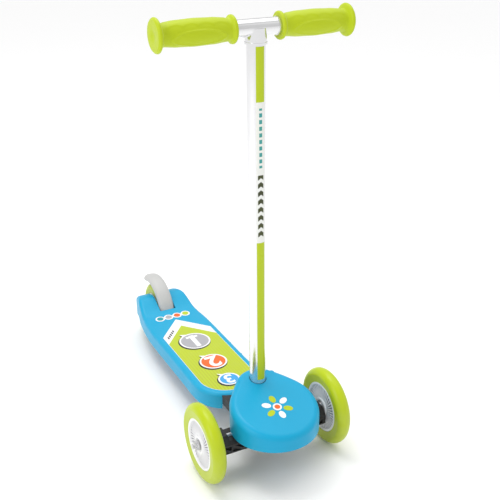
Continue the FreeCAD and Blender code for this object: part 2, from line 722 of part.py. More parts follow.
# Tee fitting, crossbar and grips.
TEE_RADIUS = "(column_radius + tee_wall)"
SLEEVE_RADIUS = "(bar_radius + tee_wall)"
TEE_SPAN = "(grip_inner - 0.5)"
upright = rod("tee_upright", TEE_RADIUS, "tee_depth", "0", COLUMN_Y, "bar_height - tee_depth")
sleeve = rod("tee_sleeve", SLEEVE_RADIUS, f"2 * {TEE_SPAN}", f"-{TEE_SPAN}", COLUMN_Y, "bar_height", (1, 0, 0))
left_ring = rod("tee_left_ring", f"{SLEEVE_RADIUS} + 0.8", "tee_ring", f"{TEE_SPAN} - tee_ring", COLUMN_Y,
                "bar_height", (1, 0, 0))
right_ring = rod("tee_right_ring", f"{SLEEVE_RADIUS} + 0.8", "tee_ring", f"-{TEE_SPAN}", COLUMN_Y, "bar_height",
                 (1, 0, 0))
foot_ring = rod("tee_foot_ring", f"{TEE_RADIUS} + 0.8", "tee_ring", "0", COLUMN_Y, "bar_height - tee_depth")
tee = boolean("Fuse", "tee_body", upright, sleeve, left_ring, right_ring, foot_ring)
tee_cuts = [rod("tee_column_bore", "column_radius", "tee_depth - bar_radius - 1 + 5", "0", COLUMN_Y,
                "bar_height - tee_depth - 5"),
            rod("tee_bar_bore", "bar_radius", f"2 * {TEE_SPAN} + 10", f"-{TEE_SPAN} - 5", COLUMN_Y, "bar_height",
                (1, 0, 0)),
            rod("tee_screw_bore", "tee_screw_radius", "column_radius + tee_wall + 5", "0", COLUMN_Y,
                "tee_screw_height", (0, 1, 0))]
keep(boolean("Cut", "tee_fitting", tee, *tee_cuts))
tee_screw = pan_screw("tee_screw", "tee_screw_radius", "tee_screw_radius * 1.8", "2.6",
                      "tee_wall + tube_wall + 1.5")
keep(place(tee_screw, "0", f"{COLUMN_Y} + {TEE_RADIUS}", "tee_screw_height", (0, -1, 0)))

crossbar = ring("crossbar", "bar_radius - tube_wall", "bar_radius", "-(grip_outer - grip_end_wall)",
                "grip_outer - grip_end_wall")
keep(place(crossbar, "0", COLUMN_Y, "bar_height", (1, 0, 0)))

GRIP_START = "(grip_inner + grip_flange + grip_flare)"
GRIP_STOP = "(grip_outer - grip_flange - grip_flare)"
HALF_BARREL = f"(({GRIP_STOP} - {GRIP_START}) / 2)"
BELLY_RISE = "(grip_belly - grip_neck)"
BELLY_RADIUS = f"(({HALF_BARREL} ^ 2 + {BELLY_RISE} ^ 2) / (2 * {BELLY_RISE}))"
for side, direction in (("left", (1, 0, 0)), ("right", (-1, 0, 0))):
    grip = turned(f"{side}_grip", [
        ("bar_radius", "grip_inner"), ("grip_flange_inner", "grip_inner"),
        ("grip_flange_inner", "grip_inner + grip_flange"), ("grip_neck", GRIP_START, BELLY_RADIUS, -1),
        ("grip_neck", GRIP_STOP), ("grip_flange_outer", "grip_outer - grip_flange"),
        ("grip_flange_outer", "grip_outer"), ("grip_vent", "grip_outer"),
        ("grip_vent", "grip_outer - grip_end_wall"), ("bar_radius", "grip_outer - grip_end_wall")])
    fillet(grip, "flange_edges", "grip_edge_radius",
           lambda edge: edge.BoundBox.ZLength < 1e-3 and edge.BoundBox.XLength > 2 * value("grip_belly") + 1)
    keep(place(grip, "0", COLUMN_Y, "bar_height", direction))


# Front cover: a round-fronted dome that narrows to the column, with a top that falls to the front.
COVER_CENTRE = "(cover_radius - nose_reach)"


def slope_height(back, inset):
    """Give the height of the cover's sloping top at a distance behind the front axle."""
    return f"cover_crown - {inset} + (({back}) - column_set_back) * tan(cover_slope)"


def cover_plan(inset):
    """Give the closed smooth outline of the cover: a large front circle drawn in to a smaller rear one."""
    front, back = value(f"cover_radius - {inset}"), value(f"cover_rear_radius - {inset}")
    front_y, back_y = value(COVER_CENTRE), value("cover_rear_centre")
    lean = math.asin((front - back) / (back_y - front_y))
    points = []
    for radius, centre, first, last, steps in ((front, front_y, math.pi - lean, 2 * math.pi + lean, 16),
                                               (back, back_y, lean, math.pi - lean, 6)):
        for step in range(steps + 1):
            angle = first + (last - first) * step / steps
            points.append(Vector(radius * math.cos(angle), centre + radius * math.sin(angle), 0))
    curve = Part.BSplineCurve()
    curve.interpolate(Points=points, PeriodicFlag=True)
    return Part.Face(Part.Wire([curve.toShape()]))


def cover_solid(name, inset, drop):
    """Build the cover's outside, or with an inset its hollow, with a rounded top that slopes."""
    low, high = value(f"cover_bottom - {drop}"), value("cover_crown + cover_radius")
    plan = cover_plan(inset)
    plan.translate(Vector(0, 0, low))
    column = plan.extrude(Vector(0, 0, high - low))
    far = value("4 * cover_radius")
    corners = [Vector(-far, -far, value(slope_height("-4 * cover_radius", inset))),
               Vector(-far, far, value(slope_height("4 * cover_radius", inset))),
               Vector(-far, far, 2 * high), Vector(-far, -far, 2 * high)]
    above = Part.Face(Part.makePolygon(corners + corners[:1])).extrude(Vector(2 * far, 0, 0))
    dome = column.cut(above)
    rim = [edge for edge in dome.Edges if edge.BoundBox.ZMin > low + 1]
    dome = dome.makeFillet(value(f"cover_edge_radius - {inset}"), rim)
    return place(solid_of(name, dome), "0", FRONT_AXLE_Y, "0")


cover_outside = cover_solid("cover_outside", "0", "0")
cover_hollow = cover_solid("cover_hollow", "cover_wall", "1")
cover_shell = boolean("Cut", "cover_shell", cover_outside, cover_hollow)
posts = [rod(f"cover_post_{number}", "cover_post_radius", f"{slope_height(y, 'cover_wall / 2')} - cover_bottom",
             x, ahead(f"({y})"), "cover_bottom") for number, (x, y) in enumerate(SADDLE_SCREWS)]
cover_whole = boolean("Fuse", "cover_whole", cover_shell, *posts)
cover_cuts = [rod("cover_column_hole", "column_radius + cover_column_gap", "60", "0", COLUMN_Y, "socket_top")]
for number, (x, y) in enumerate(SADDLE_SCREWS):
    cover_cuts.append(rod(f"cover_post_hole_{number}", "screw_radius", "screw_bite", x, ahead(f"({y})"),
                          "cover_bottom"))
keep(boolean("Cut", "front_cover", cover_whole, *cover_cuts))

badge = new_body("cover_badge")
badge_plan = new_sketch(badge, "XY_Plane", "plan")
draw_circle(badge_plan, "0", "0", "badge_radius")
pad(badge, badge_plan, "sticker_thickness")
badge_tilt = Rotation(Vector(1, 0, 0), value("cover_slope"))
place(badge, "0", ahead("badge_back"), slope_height("badge_back", "0"))
badge.Placement = Placement(badge.Placement.Base, badge_tilt)
keep(badge)

cover_screw = pan_screw("cover_screw", "screw_radius", "screw_head_radius", "screw_head",
                        "saddle_thickness + screw_bite")
doc.recompute()
keep(copies("cover_screws", cover_screw, [
    Placement(Vector(value(x), value(ahead(f"({y})")), value("cover_bottom - saddle_thickness")), Rotation())
    for x, y in SADDLE_SCREWS]))
deck_screw = pan_screw("deck_screw", "screw_radius", "screw_head_radius", "screw_head",
                       "deck_top - wall - tongue_bottom + deck_screw_bite")
doc.recompute()
keep(copies("deck_screws", deck_screw, [
    Placement(Vector(value(x), value(ahead(f"({y})")), value("tongue_bottom")), Rotation())
    for x, y in DECK_SCREWS]))


# Deck: a blue moulded shell, open below, with raised cheeks either side of the rear wheel's slot.
NOSE_Y = "(deck_nose_centre - deck_half_width)"


def side_width(back, inset):
    """Give the deck's half width at a distance behind the front axle, on the swept stretch."""
    radius = f"(deck_side_sweep - ({inset}))"
    return f"(deck_half_width - deck_side_sweep + sqrt({radius} ^ 2 - (({back}) - deck_side_end) ^ 2))"


def deck_plan():
    """Give the deck's closed smooth outline: a round nose, long swept sides and a rounded tail."""
    half, nose, end = value("deck_half_width"), value("deck_nose_centre"), value("deck_side_end")
    turn, tail = value("deck_tail_start"), value("deck_tail")
    points = []
    for step in range(9):
        angle = math.radians(-90 + 90 * step / 8)
        points.append((half * math.cos(angle), nose + half * math.sin(angle)))
    points += [(half, nose + (end - nose) * step / 4) for step in range(1, 4)]
    for step in range(6):
        back = end + (turn - end) * step / 5
        points.append((value(side_width(str(back), "0")), back))
    corner = points[-1][0]
    for step in range(1, 6):
        angle = math.radians(90 * step / 5)
        points.append((corner - value("deck_tail_corner") * (1 - math.cos(angle)),
                       turn + (tail - turn) * math.sin(angle)))
    points += [(-across, back) for across, back in reversed(points[1:])]
    curve = Part.BSplineCurve()
    curve.interpolate(Points=[Vector(across, back, 0) for across, back in points], PeriodicFlag=True)
    return Part.Face(Part.Wire([curve.toShape()]))


def above_deck():
    """Give the block of space over the deck: flat, then over the cheeks, then down behind them."""
    top, crest, height = value("deck_top"), value("cheek_crest"), value("cheek_height")
    start, tail, foot = value("cheek_start"), value("deck_tail"), value("cheek_back_foot")
    rise, front = height - top, value(f"{NOSE_Y} - 30")
    line = [(front, top), ((front + start) / 2, top), (start - 40, top), (start - 16, top), (start, top)]
    line += [(start + (crest - start) * share, top + rise * lift)
             for share, lift in ((0.3, 0.14), (0.6, 0.64), (0.82, 1.0), (1.0, 1.03))]
    line += [(crest + (tail - crest) * share, height - (height - foot) * fall)
             for share, fall in ((0.3, 0.06), (0.6, 0.31), (0.84, 0.65), (1.0, 0.94), (1.2, 1.35))]
    far = value("-2 * deck_half_width")
    curve = Part.BSplineCurve()
    curve.buildFromPoles([Vector(far, back, level) for back, level in line], False, 3)
    first, last = Vector(far, *line[0]), Vector(far, *line[-1])
    lid = [Vector(far, last.y, 3 * height), Vector(far, first.y, 3 * height)]
    edges = [curve.toShape(), Part.makeLine(last, lid[0]), Part.makeLine(lid[0], lid[1]), Part.makeLine(lid[1], first)]
    return Part.Face(Part.Wire(edges)).extrude(Vector(-2 * far, 0, 0))


def deck_form():
    """Build the deck's outside, with its upper and lower edges rounded."""
    bottom = value("deck_bottom")
    plan = deck_plan()
    plan.translate(Vector(0, 0, bottom))
    form = plan.extrude(Vector(0, 0, value("2 * cheek_height"))).cut(above_deck())
    upper = [edge for edge in form.Edges if edge.BoundBox.ZMin > bottom + 3 and edge.BoundBox.YLength > 1]
    form = form.makeFillet(value("deck_edge_radius"), upper)
    lower = [edge for edge in form.Edges if edge.BoundBox.ZMax < bottom + 0.01]
    return form.makeFillet(value("deck_bottom_radius"), lower)


deck = new_body("deck_shell")
deck.BaseFeature = solid_of("deck_form", deck_form())
doc.recompute()
slot = new_sketch(deck, "XY_Plane", "slot", "deck_bottom - 5")
draw_loop(slot, [("-slot_half_width", "slot_front"), ("slot_half_width", "slot_front"),
                 ("slot_half_width", "deck_tail + 10"), ("-slot_half_width", "deck_tail + 10")])
pocket(deck, slot, "cheek_height", reverse=True)

PIVOT_ROOM = "(slot_front - knuckle_room)"
BULKHEAD = f"({PIVOT_ROOM} - wall)"
hollow = new_sketch(deck, "XY_Plane", "hollow", "deck_bottom - 1")
inner = "(deck_half_width - wall)"
draw_loop(hollow, [(f"-{inner}", "deck_nose_centre", inner, -1), ("0", f"{NOSE_Y} + wall", inner, -1),
                   (inner, "deck_nose_centre"), (inner, "deck_side_end", "deck_side_sweep - wall", -1),
                   (side_width(BULKHEAD, "wall"), BULKHEAD),
                   (f"-{side_width(BULKHEAD, 'wall')}", BULKHEAD, "deck_side_sweep - wall", -1),
                   (f"-{inner}", "deck_side_end")])
pocket(deck, hollow, "deck_top - wall - deck_bottom + 1", reverse=True)
CHEEK_END = "(deck_tail_start + wall)"
cheeks = new_sketch(deck, "XY_Plane", "cheeks", "deck_bottom - 1")
for sign, bulge in (("", -1), ("-", 1)):
    points = [(f"{sign}(slot_half_width + wall)", PIVOT_ROOM),
              (f"{sign}{side_width(PIVOT_ROOM, 'wall')}", PIVOT_ROOM, "deck_side_sweep - wall", bulge),
              (f"{sign}{side_width(CHEEK_END, 'wall')}", CHEEK_END),
              (f"{sign}(slot_half_width + wall)", CHEEK_END)]
    draw_loop(cheeks, points)
pocket(deck, cheeks, "deck_top - wall - deck_bottom + 1", reverse=True)
room = new_sketch(deck, "XY_Plane", "pivot_room", "deck_bottom - 1")
draw_loop(room, [("-slot_half_width", PIVOT_ROOM), ("slot_half_width", PIVOT_ROOM),
                 ("slot_half_width", "slot_front + 1"), ("-slot_half_width", "slot_front + 1")])
pocket(deck, room, "deck_top - wall - 1.5 - deck_bottom + 1", reverse=True)
mouth = new_sketch(deck, "XY_Plane", "mouth", "deck_bottom - 1")
draw_loop(mouth, [("-tongue_half_width", f"{NOSE_Y} - 5"), ("tongue_half_width", f"{NOSE_Y} - 5"),
                  ("tongue_half_width", "tongue_start + tongue_length"),
                  ("-tongue_half_width", "tongue_start + tongue_length")])
pocket(deck, mouth, "deck_top - wall - deck_bottom + 1", reverse=True)
pilots = new_sketch(deck, "XY_Plane", "pilots", "deck_top - wall - 1")
for x, y in DECK_SCREWS:
    draw_circle(pilots, x, y, "screw_radius")
pocket(deck, pilots, "deck_screw_bite + 1", reverse=True)
PIN_REACH = "(slot_half_width + wall + 1)"
cross_holes = new_sketch(deck, "YZ_Plane", "cross_holes")
draw_circle(cross_holes, "wheelbase - brake_pivot_forward", "brake_pivot_height", "brake_pin_radius")
draw_circle(cross_holes, "wheelbase", "rear_wheel_radius", "axle_radius")
pocket(deck, cross_holes, f"2 * {PIN_REACH}", midplane=True)
RIB_LOW = "deck_bottom + rib_setback"
RIB_HEIGHT = f"deck_top - wall / 2 - ({RIB_LOW})"
cross_ribs = new_sketch(deck, "XY_Plane", "cross_ribs", RIB_LOW)
for number in range(CROSS_RIBS):
    rib_y = f"(rib_start + {number} * rib_pitch)"
    reach = f"(deck_half_width - wall / 2 - {number} ^ 2 * rib_draw_in)"
    draw_loop(cross_ribs, [(f"-{reach}", rib_y), (reach, rib_y), (reach, f"{rib_y} + rib_thickness"),
                           (f"-{reach}", f"{rib_y} + rib_thickness")])
pad(deck, cross_ribs, RIB_HEIGHT)
long_ribs = new_sketch(deck, "XY_Plane", "long_ribs", RIB_LOW)
for column in (-1, 0, 1):
    rib_x = f"{column} * long_rib_offset"
    draw_loop(long_ribs, [(f"{rib_x} - rib_thickness / 2", "rib_start"),
                          (f"{rib_x} + rib_thickness / 2", "rib_start"),
                          (f"{rib_x} + rib_thickness / 2", f"{BULKHEAD} + wall / 2"),
                          (f"{rib_x} - rib_thickness / 2", f"{BULKHEAD} + wall / 2")])
pad(deck, long_ribs, RIB_HEIGHT)
place(deck, "0", FRONT_AXLE_Y, "0")
doc.recompute()
keep(deck)

sticker = new_body("deck_sticker")
plan = new_sketch(sticker, "XY_Plane", "plan", "deck_top")
draw_loop(plan, [("-sticker_half_width", "deck_nose_centre", "sticker_half_width", -1),
                 ("0", "deck_nose_centre - sticker_half_width", "sticker_half_width", -1),
                 ("sticker_half_width", "deck_nose_centre"), ("sticker_half_width", "sticker_shoulder"),
                 ("0", "sticker_point"), ("-sticker_half_width", "sticker_shoulder")])
pad(sticker, plan, "sticker_thickness")
keep(place(sticker, "0", FRONT_AXLE_Y, "0"))


# Rear axle hardware across the slot.
AXLE_REACH = "(slot_half_width + wall)"
rear_bolt = bolt("rear_axle_bolt", "axle_radius", "axle_nut_flats", "axle_head", f"-{AXLE_REACH}",
                 f"{AXLE_REACH} + axle_nut_height + axle_tip")
rear_nut = nut("rear_axle_nut", "axle_radius", "axle_nut_flats", AXLE_REACH, f"{AXLE_REACH} + axle_nut_height")
for item in (rear_bolt, rear_nut):
    keep(place(item, "0", REAR_AXLE_Y, "rear_wheel_radius", (1, 0, 0)))
rear_spacer = ring("rear_spacer", "axle_radius", "axle_washer_radius", "hub_half_width + running_gap",
                   "slot_half_width")
place(rear_spacer, "0", REAR_AXLE_Y, "rear_wheel_radius", (1, 0, 0))
ABOUT_REAR = Placement(Vector(), Rotation(Vector(0, 0, 1), 180), Vector(0, value(REAR_AXLE_Y), 0))
keep(copies("rear_axle_spacers", rear_spacer, [Placement(), ABOUT_REAR]))


# Rear fender, which is also the foot brake: a crowned strip turned about its own centre.
def fender_sector(name, points, start, end):
    """Turn a cross-section (across, radius) about the fender's centre, between two angles from the front."""
    body = new_body(name)
    sketch = new_sketch(body, "XZ_Plane", "section")
    draw_loop(sketch, points)
    feature = body.newObject("PartDesign::Revolution", f"{name}_turn")
    feature.Profile = sketch
    feature.ReferenceAxis = (sketch, ["H_Axis"])
    feature.setExpression("Angle", bind(f"({end}) - ({start})"))
    place(body, "0", FENDER_Y, FENDER_Z)
    body.Placement = Placement(body.Placement.Base, Rotation(Vector(1, 0, 0), 90 - value(end)))
    return body


CROWN_RADIUS = "((fender_half_width ^ 2 + fender_crown ^ 2) / (2 * fender_crown))"
INSIDE = "(fender_half_width - fender_thickness)"
UNDER = "(fender_radius - fender_thickness)"
strip_body = fender_sector("fender_strip", [
    ("-fender_half_width", "fender_radius - fender_lip"), (f"-{INSIDE}", "fender_radius - fender_lip"),
    (f"-{INSIDE}", UNDER, f"{CROWN_RADIUS} - fender_thickness", 1), (INSIDE, UNDER),
    (INSIDE, "fender_radius - fender_lip"), ("fender_half_width", "fender_radius - fender_lip"),
    ("fender_half_width", "fender_radius", CROWN_RADIUS, -1), ("-fender_half_width", "fender_radius")],
    "fender_start", "fender_end")
arm = new_body("fender_arm")
arm_profile = new_sketch(arm, "YZ_Plane", "profile")
draw_loop(arm_profile, [("0", "-knuckle_radius + 0.4"), ("10", "1.5"), ("11.5", "8"), ("7.5", "8"), ("5.5", "5.5"),
                        ("-1", "knuckle_radius - 0.3")])
pad(arm, arm_profile, "2 * knuckle_half_width", midplane=True)
place(arm, "0", BRAKE_PIVOT_Y, "brake_pivot_height")
knuckle = rod("knuckle", "knuckle_radius", "2 * knuckle_half_width", "-knuckle_half_width", BRAKE_PIVOT_Y,
              "brake_pivot_height", (1, 0, 0))
fender = boolean("Fuse", "fender_body", strip_body, arm, knuckle)
pin_bore = rod("pin_bore", "brake_pin_radius + pin_clearance", "2 * slot_half_width", "-slot_half_width",
               BRAKE_PIVOT_Y, "brake_pivot_height", (1, 0, 0))
keep(boolean("Cut", "rear_fender", fender, pin_bore))

PAD_RADIUS = "(sqrt(rear_wheel_radius ^ 2 - fender_set_back ^ 2) + fender_drop + brake_pad_gap)"
keep(fender_sector("brake_pad", [
    (f"-{INSIDE} + 1", PAD_RADIUS), (f"{INSIDE} - 1", PAD_RADIUS),
    (INSIDE, UNDER, f"{CROWN_RADIUS} - fender_thickness", -1), (f"-{INSIDE}", UNDER)],
    "brake_pad_start", "brake_pad_end"))

pin = turned("brake_pivot_pin", [("0", f"-{PIN_REACH}"), ("brake_pin_radius", f"-{PIN_REACH}"),
                                 ("brake_pin_radius", PIN_REACH), ("0", PIN_REACH)])
keep(place(pin, "0", BRAKE_PIVOT_Y, "brake_pivot_height", (1, 0, 0)))


def coil_spring(label, wire, coil, pitch, turns):
    """Wind a coil of round wire about local Z, in short straight lengths with mitred joins."""
    lengths = int(12 * turns)
    points = []
    for number in range(lengths + 1):
        angle = 2 * math.pi * turns * number / lengths
        points.append(Vector(coil * math.cos(angle), coil * math.sin(angle), pitch * angle / (2 * math.pi)))
    section = Part.Wire([Part.makeCircle(wire, points[0], points[1].sub(points[0]))])
    return solid_of(label, Part.makePolygon(points).makePipeShell([section], True, False, 1))


spring = coil_spring("brake_spring", value("spring_wire"), value("spring_coil"), value("spring_pitch"),
                     value("spring_turns"))
keep(place(spring, "knuckle_half_width + spring_wire + 0.8", BRAKE_PIVOT_Y, "brake_pivot_height", (1, 0, 0)))


# Check every object, then write each sub-part.
doc.recompute()
for item in doc.Objects:
    if "Invalid" in item.State or "Error" in item.State:
        raise RuntimeError(f"{item.Name} has failed: {item.State}")
os.makedirs("parts", exist_ok=True)
for item in PARTS:
    shape = item.Shape
    if shape.isNull() or not shape.isValid():
        raise RuntimeError(f"{item.Label} has no valid shape")
    shape.exportStep(os.path.join("parts", f"{item.Label}.step"))
    print(f"{item.Label}: {len(shape.Solids)} solid(s), {shape.Volume / 1000:.2f} cm3")
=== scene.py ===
"""A child's lean-to-steer kick scooter: finishes, printed films, finned hubs, floor, light and camera."""

import json
import logging
import math
from dataclasses import dataclass, field
from enum import Enum

import bmesh
import bpy
from mathutils import Matrix, Vector
from mathutils.bvhtree import BVHTree


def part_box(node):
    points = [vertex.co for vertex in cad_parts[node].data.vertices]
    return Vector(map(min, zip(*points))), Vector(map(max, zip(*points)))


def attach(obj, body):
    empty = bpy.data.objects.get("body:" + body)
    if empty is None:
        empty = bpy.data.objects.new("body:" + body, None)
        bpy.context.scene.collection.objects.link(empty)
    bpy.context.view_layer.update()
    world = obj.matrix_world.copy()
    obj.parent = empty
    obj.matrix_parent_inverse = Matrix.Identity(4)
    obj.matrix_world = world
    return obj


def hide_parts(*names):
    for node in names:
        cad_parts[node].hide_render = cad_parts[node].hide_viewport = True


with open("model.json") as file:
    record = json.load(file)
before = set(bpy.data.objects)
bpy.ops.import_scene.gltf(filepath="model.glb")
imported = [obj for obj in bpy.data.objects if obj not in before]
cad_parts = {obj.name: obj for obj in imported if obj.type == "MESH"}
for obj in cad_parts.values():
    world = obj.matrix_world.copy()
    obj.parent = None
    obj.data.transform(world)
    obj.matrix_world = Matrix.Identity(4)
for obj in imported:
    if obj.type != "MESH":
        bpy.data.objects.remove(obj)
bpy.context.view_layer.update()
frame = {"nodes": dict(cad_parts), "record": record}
LOG = logging.getLogger("scooter")

Colour = tuple[float, float, float]
Point = tuple[float, float]


class Shade(Enum):
    """The colours the scooter is moulded, painted and printed in (linear values)."""

    LIME = (0.47, 0.58, 0.004)
    BLUE = (0.0, 0.36, 0.61)
    WHITE = (0.88, 0.88, 0.89)
    GREY = (0.52, 0.52, 0.51)
    PRINT_GREY = (0.40, 0.40, 0.43)
    ORANGE = (0.86, 0.13, 0.012)
    PRINT_BLUE = (0.04, 0.36, 0.74)
    TEAL = (0.0, 0.30, 0.34)
    BLACK = (0.012, 0.012, 0.014)
    STEEL = (0.62, 0.62, 0.63)
    CHROME = (0.80, 0.80, 0.81)
    NYLON = (0.70, 0.69, 0.64)


class Graph:
    """A node tree with short calls for adding and joining nodes."""

    def __init__(self, tree: bpy.types.NodeTree) -> None:
        """Keep the tree.

        Args:
            tree: the node tree to fill.
        """
        self.tree = tree

    def add(self, kind: str, **settings: object) -> bpy.types.Node:
        """Add a node and set its plain properties.

        Args:
            kind: the node's type name.
            settings: property values by name.

        Returns:
            The new node.
        """
        node = self.tree.nodes.new(kind)
        for name, setting in settings.items():
            setattr(node, name, setting)
        return node

    def feed(self, node: bpy.types.Node, socket: object, source: object) -> None:
        """Join an output to an input, or set the input's own value.

        Args:
            node: the node that is fed.
            socket: the input's name or number.
            source: an output socket or a plain value.
        """
        if isinstance(source, bpy.types.NodeSocket):
            self.tree.links.new(source, node.inputs[socket])
        else:
            node.inputs[socket].default_value = source

    def math(self, operation: str, *terms: object) -> bpy.types.NodeSocket:
        """Add a Math node over its terms.

        Args:
            operation: the node's operation.
            terms: an output socket or a plain value for each input, in order.

        Returns:
            The node's output.
        """
        node = self.add("ShaderNodeMath", operation=operation)
        for number, term in enumerate(terms):
            self.feed(node, number, term)
        return node.outputs[0]

    def blend(self, factor: object, first: object, second: object) -> bpy.types.NodeSocket:
        """Mix two colours by a factor.

        Args:
            factor: 0 for the first colour, 1 for the second.
            first: a colour or an output socket.
            second: a colour or an output socket.

        Returns:
            The mixed colour's output.
        """
        node = self.add("ShaderNodeMix", data_type="RGBA")
        self.feed(node, 0, factor)
        self.feed(node, 6, first)
        self.feed(node, 7, second)
        return node.outputs[2]


class SharedEffect:
    """A shader node group that several materials place with their own values."""

    name = ""
    inputs: tuple[tuple[str, str], ...] = ()
    outputs: tuple[tuple[str, str], ...] = ()

    def tree(self) -> bpy.types.NodeTree:
        """Build the group once.

        Returns:
            The node group.
        """
        found = bpy.data.node_groups.get(self.name)
        if found:
            return found
        tree = bpy.data.node_groups.new(self.name, "ShaderNodeTree")
        for label, kind in self.inputs:
            tree.interface.new_socket(label, in_out="INPUT", socket_type=kind)
        for label, kind in self.outputs:
            tree.interface.new_socket(label, in_out="OUTPUT", socket_type=kind)
        graph = Graph(tree)
        self.fill(graph, graph.add("NodeGroupInput"), graph.add("NodeGroupOutput"))
        return tree

    def fill(self, graph: Graph, entry: bpy.types.Node, leave: bpy.types.Node) -> None:
        """Make the group's inner nodes.

        Args:
            graph: the group's graph.
            entry: the group's input node.
            leave: the group's output node.
        """
        raise NotImplementedError

    def place(self, graph: Graph, **values: object) -> bpy.types.Node:
        """Put the group in a material.

        Args:
            graph: the material's graph.
            values: a value or source for each input, with spaces written as underscores.

        Returns:
            The group node.
        """
        node = graph.add("ShaderNodeGroup", node_tree=self.tree())
        for name, source in values.items():
            graph.feed(node, name.replace("_", " "), source)
        return node


class MouldGrain(SharedEffect):
    """The fine texture of moulded plastic or rubber, with slow swells from uneven cooling."""

    name = "mould_grain"
    inputs = (("Vector", "NodeSocketVector"), ("Scale", "NodeSocketFloat"), ("Swell", "NodeSocketFloat"))
    outputs = (("Height", "NodeSocketFloat"), ("Patches", "NodeSocketFloat"))

    def fill(self, graph: Graph, entry: bpy.types.Node, leave: bpy.types.Node) -> None:
        """Sum a fine and a slow noise."""
        fine = graph.add("ShaderNodeTexNoise")
        graph.feed(fine, "Vector", entry.outputs["Vector"])
        graph.feed(fine, "Scale", entry.outputs["Scale"])
        graph.feed(fine, "Detail", 3.0)
        slow = graph.add("ShaderNodeTexNoise")
        graph.feed(slow, "Vector", entry.outputs["Vector"])
        graph.feed(slow, "Scale", 22.0)
        graph.feed(slow, "Detail", 2.0)
        swell = graph.math("MULTIPLY", slow.outputs[0], entry.outputs["Swell"])
        graph.feed(leave, "Height", graph.math("ADD", fine.outputs[0], swell))
        graph.feed(leave, "Patches", slow.outputs[0])


class HandlingMarks(SharedEffect):
    """Hair-fine scuffs that run mostly one way."""

    name = "handling_marks"
    inputs = (("Vector", "NodeSocketVector"), ("Amount", "NodeSocketFloat"))
    outputs = (("Mask", "NodeSocketFloat"),)

    def fill(self, graph: Graph, entry: bpy.types.Node, leave: bpy.types.Node) -> None:
        """Stretch a noise into streaks and keep its crests."""
        stretch = graph.add("ShaderNodeMapping")
        graph.feed(stretch, "Vector", entry.outputs["Vector"])
        graph.feed(stretch, "Rotation", (0.3, 0.5, 0.7))
        graph.feed(stretch, "Scale", (900.0, 40.0, 260.0))
        streak = graph.add("ShaderNodeTexNoise")
        graph.feed(streak, "Vector", stretch.outputs[0])
        graph.feed(streak, "Scale", 1.0)
        crest = graph.add("ShaderNodeMapRange")
        graph.feed(crest, "Value", streak.outputs[0])
        graph.feed(crest, "From Min", 0.66)
        graph.feed(crest, "From Max", 0.80)
        graph.feed(leave, "Mask", graph.math("MULTIPLY", crest.outputs[0], entry.outputs["Amount"]))


class FloorDust(SharedEffect):
    """Pale dust that thickens towards the floor."""

    name = "floor_dust"
    inputs = (("Vector", "NodeSocketVector"), ("Reach", "NodeSocketFloat"), ("Amount", "NodeSocketFloat"))
    outputs = (("Mask", "NodeSocketFloat"),)

    def fill(self, graph: Graph, entry: bpy.types.Node, leave: bpy.types.Node) -> None:
        """Fade a blotchy noise out with height."""
        split = graph.add("ShaderNodeSeparateXYZ")
        graph.feed(split, 0, entry.outputs["Vector"])
        share = graph.math("DIVIDE", split.outputs["Z"], entry.outputs["Reach"])
        low = graph.add("ShaderNodeMapRange")
        graph.feed(low, "Value", share)
        graph.feed(low, "From Min", 1.0)
        graph.feed(low, "From Max", 0.0)
        blotch = graph.add("ShaderNodeTexNoise")
        graph.feed(blotch, "Vector", entry.outputs["Vector"])
        graph.feed(blotch, "Scale", 70.0)
        graph.feed(blotch, "Detail", 5.0)
        both = graph.math("MULTIPLY", low.outputs[0], blotch.outputs[0])
        graph.feed(leave, "Mask", graph.math("MULTIPLY", both, entry.outputs["Amount"]))


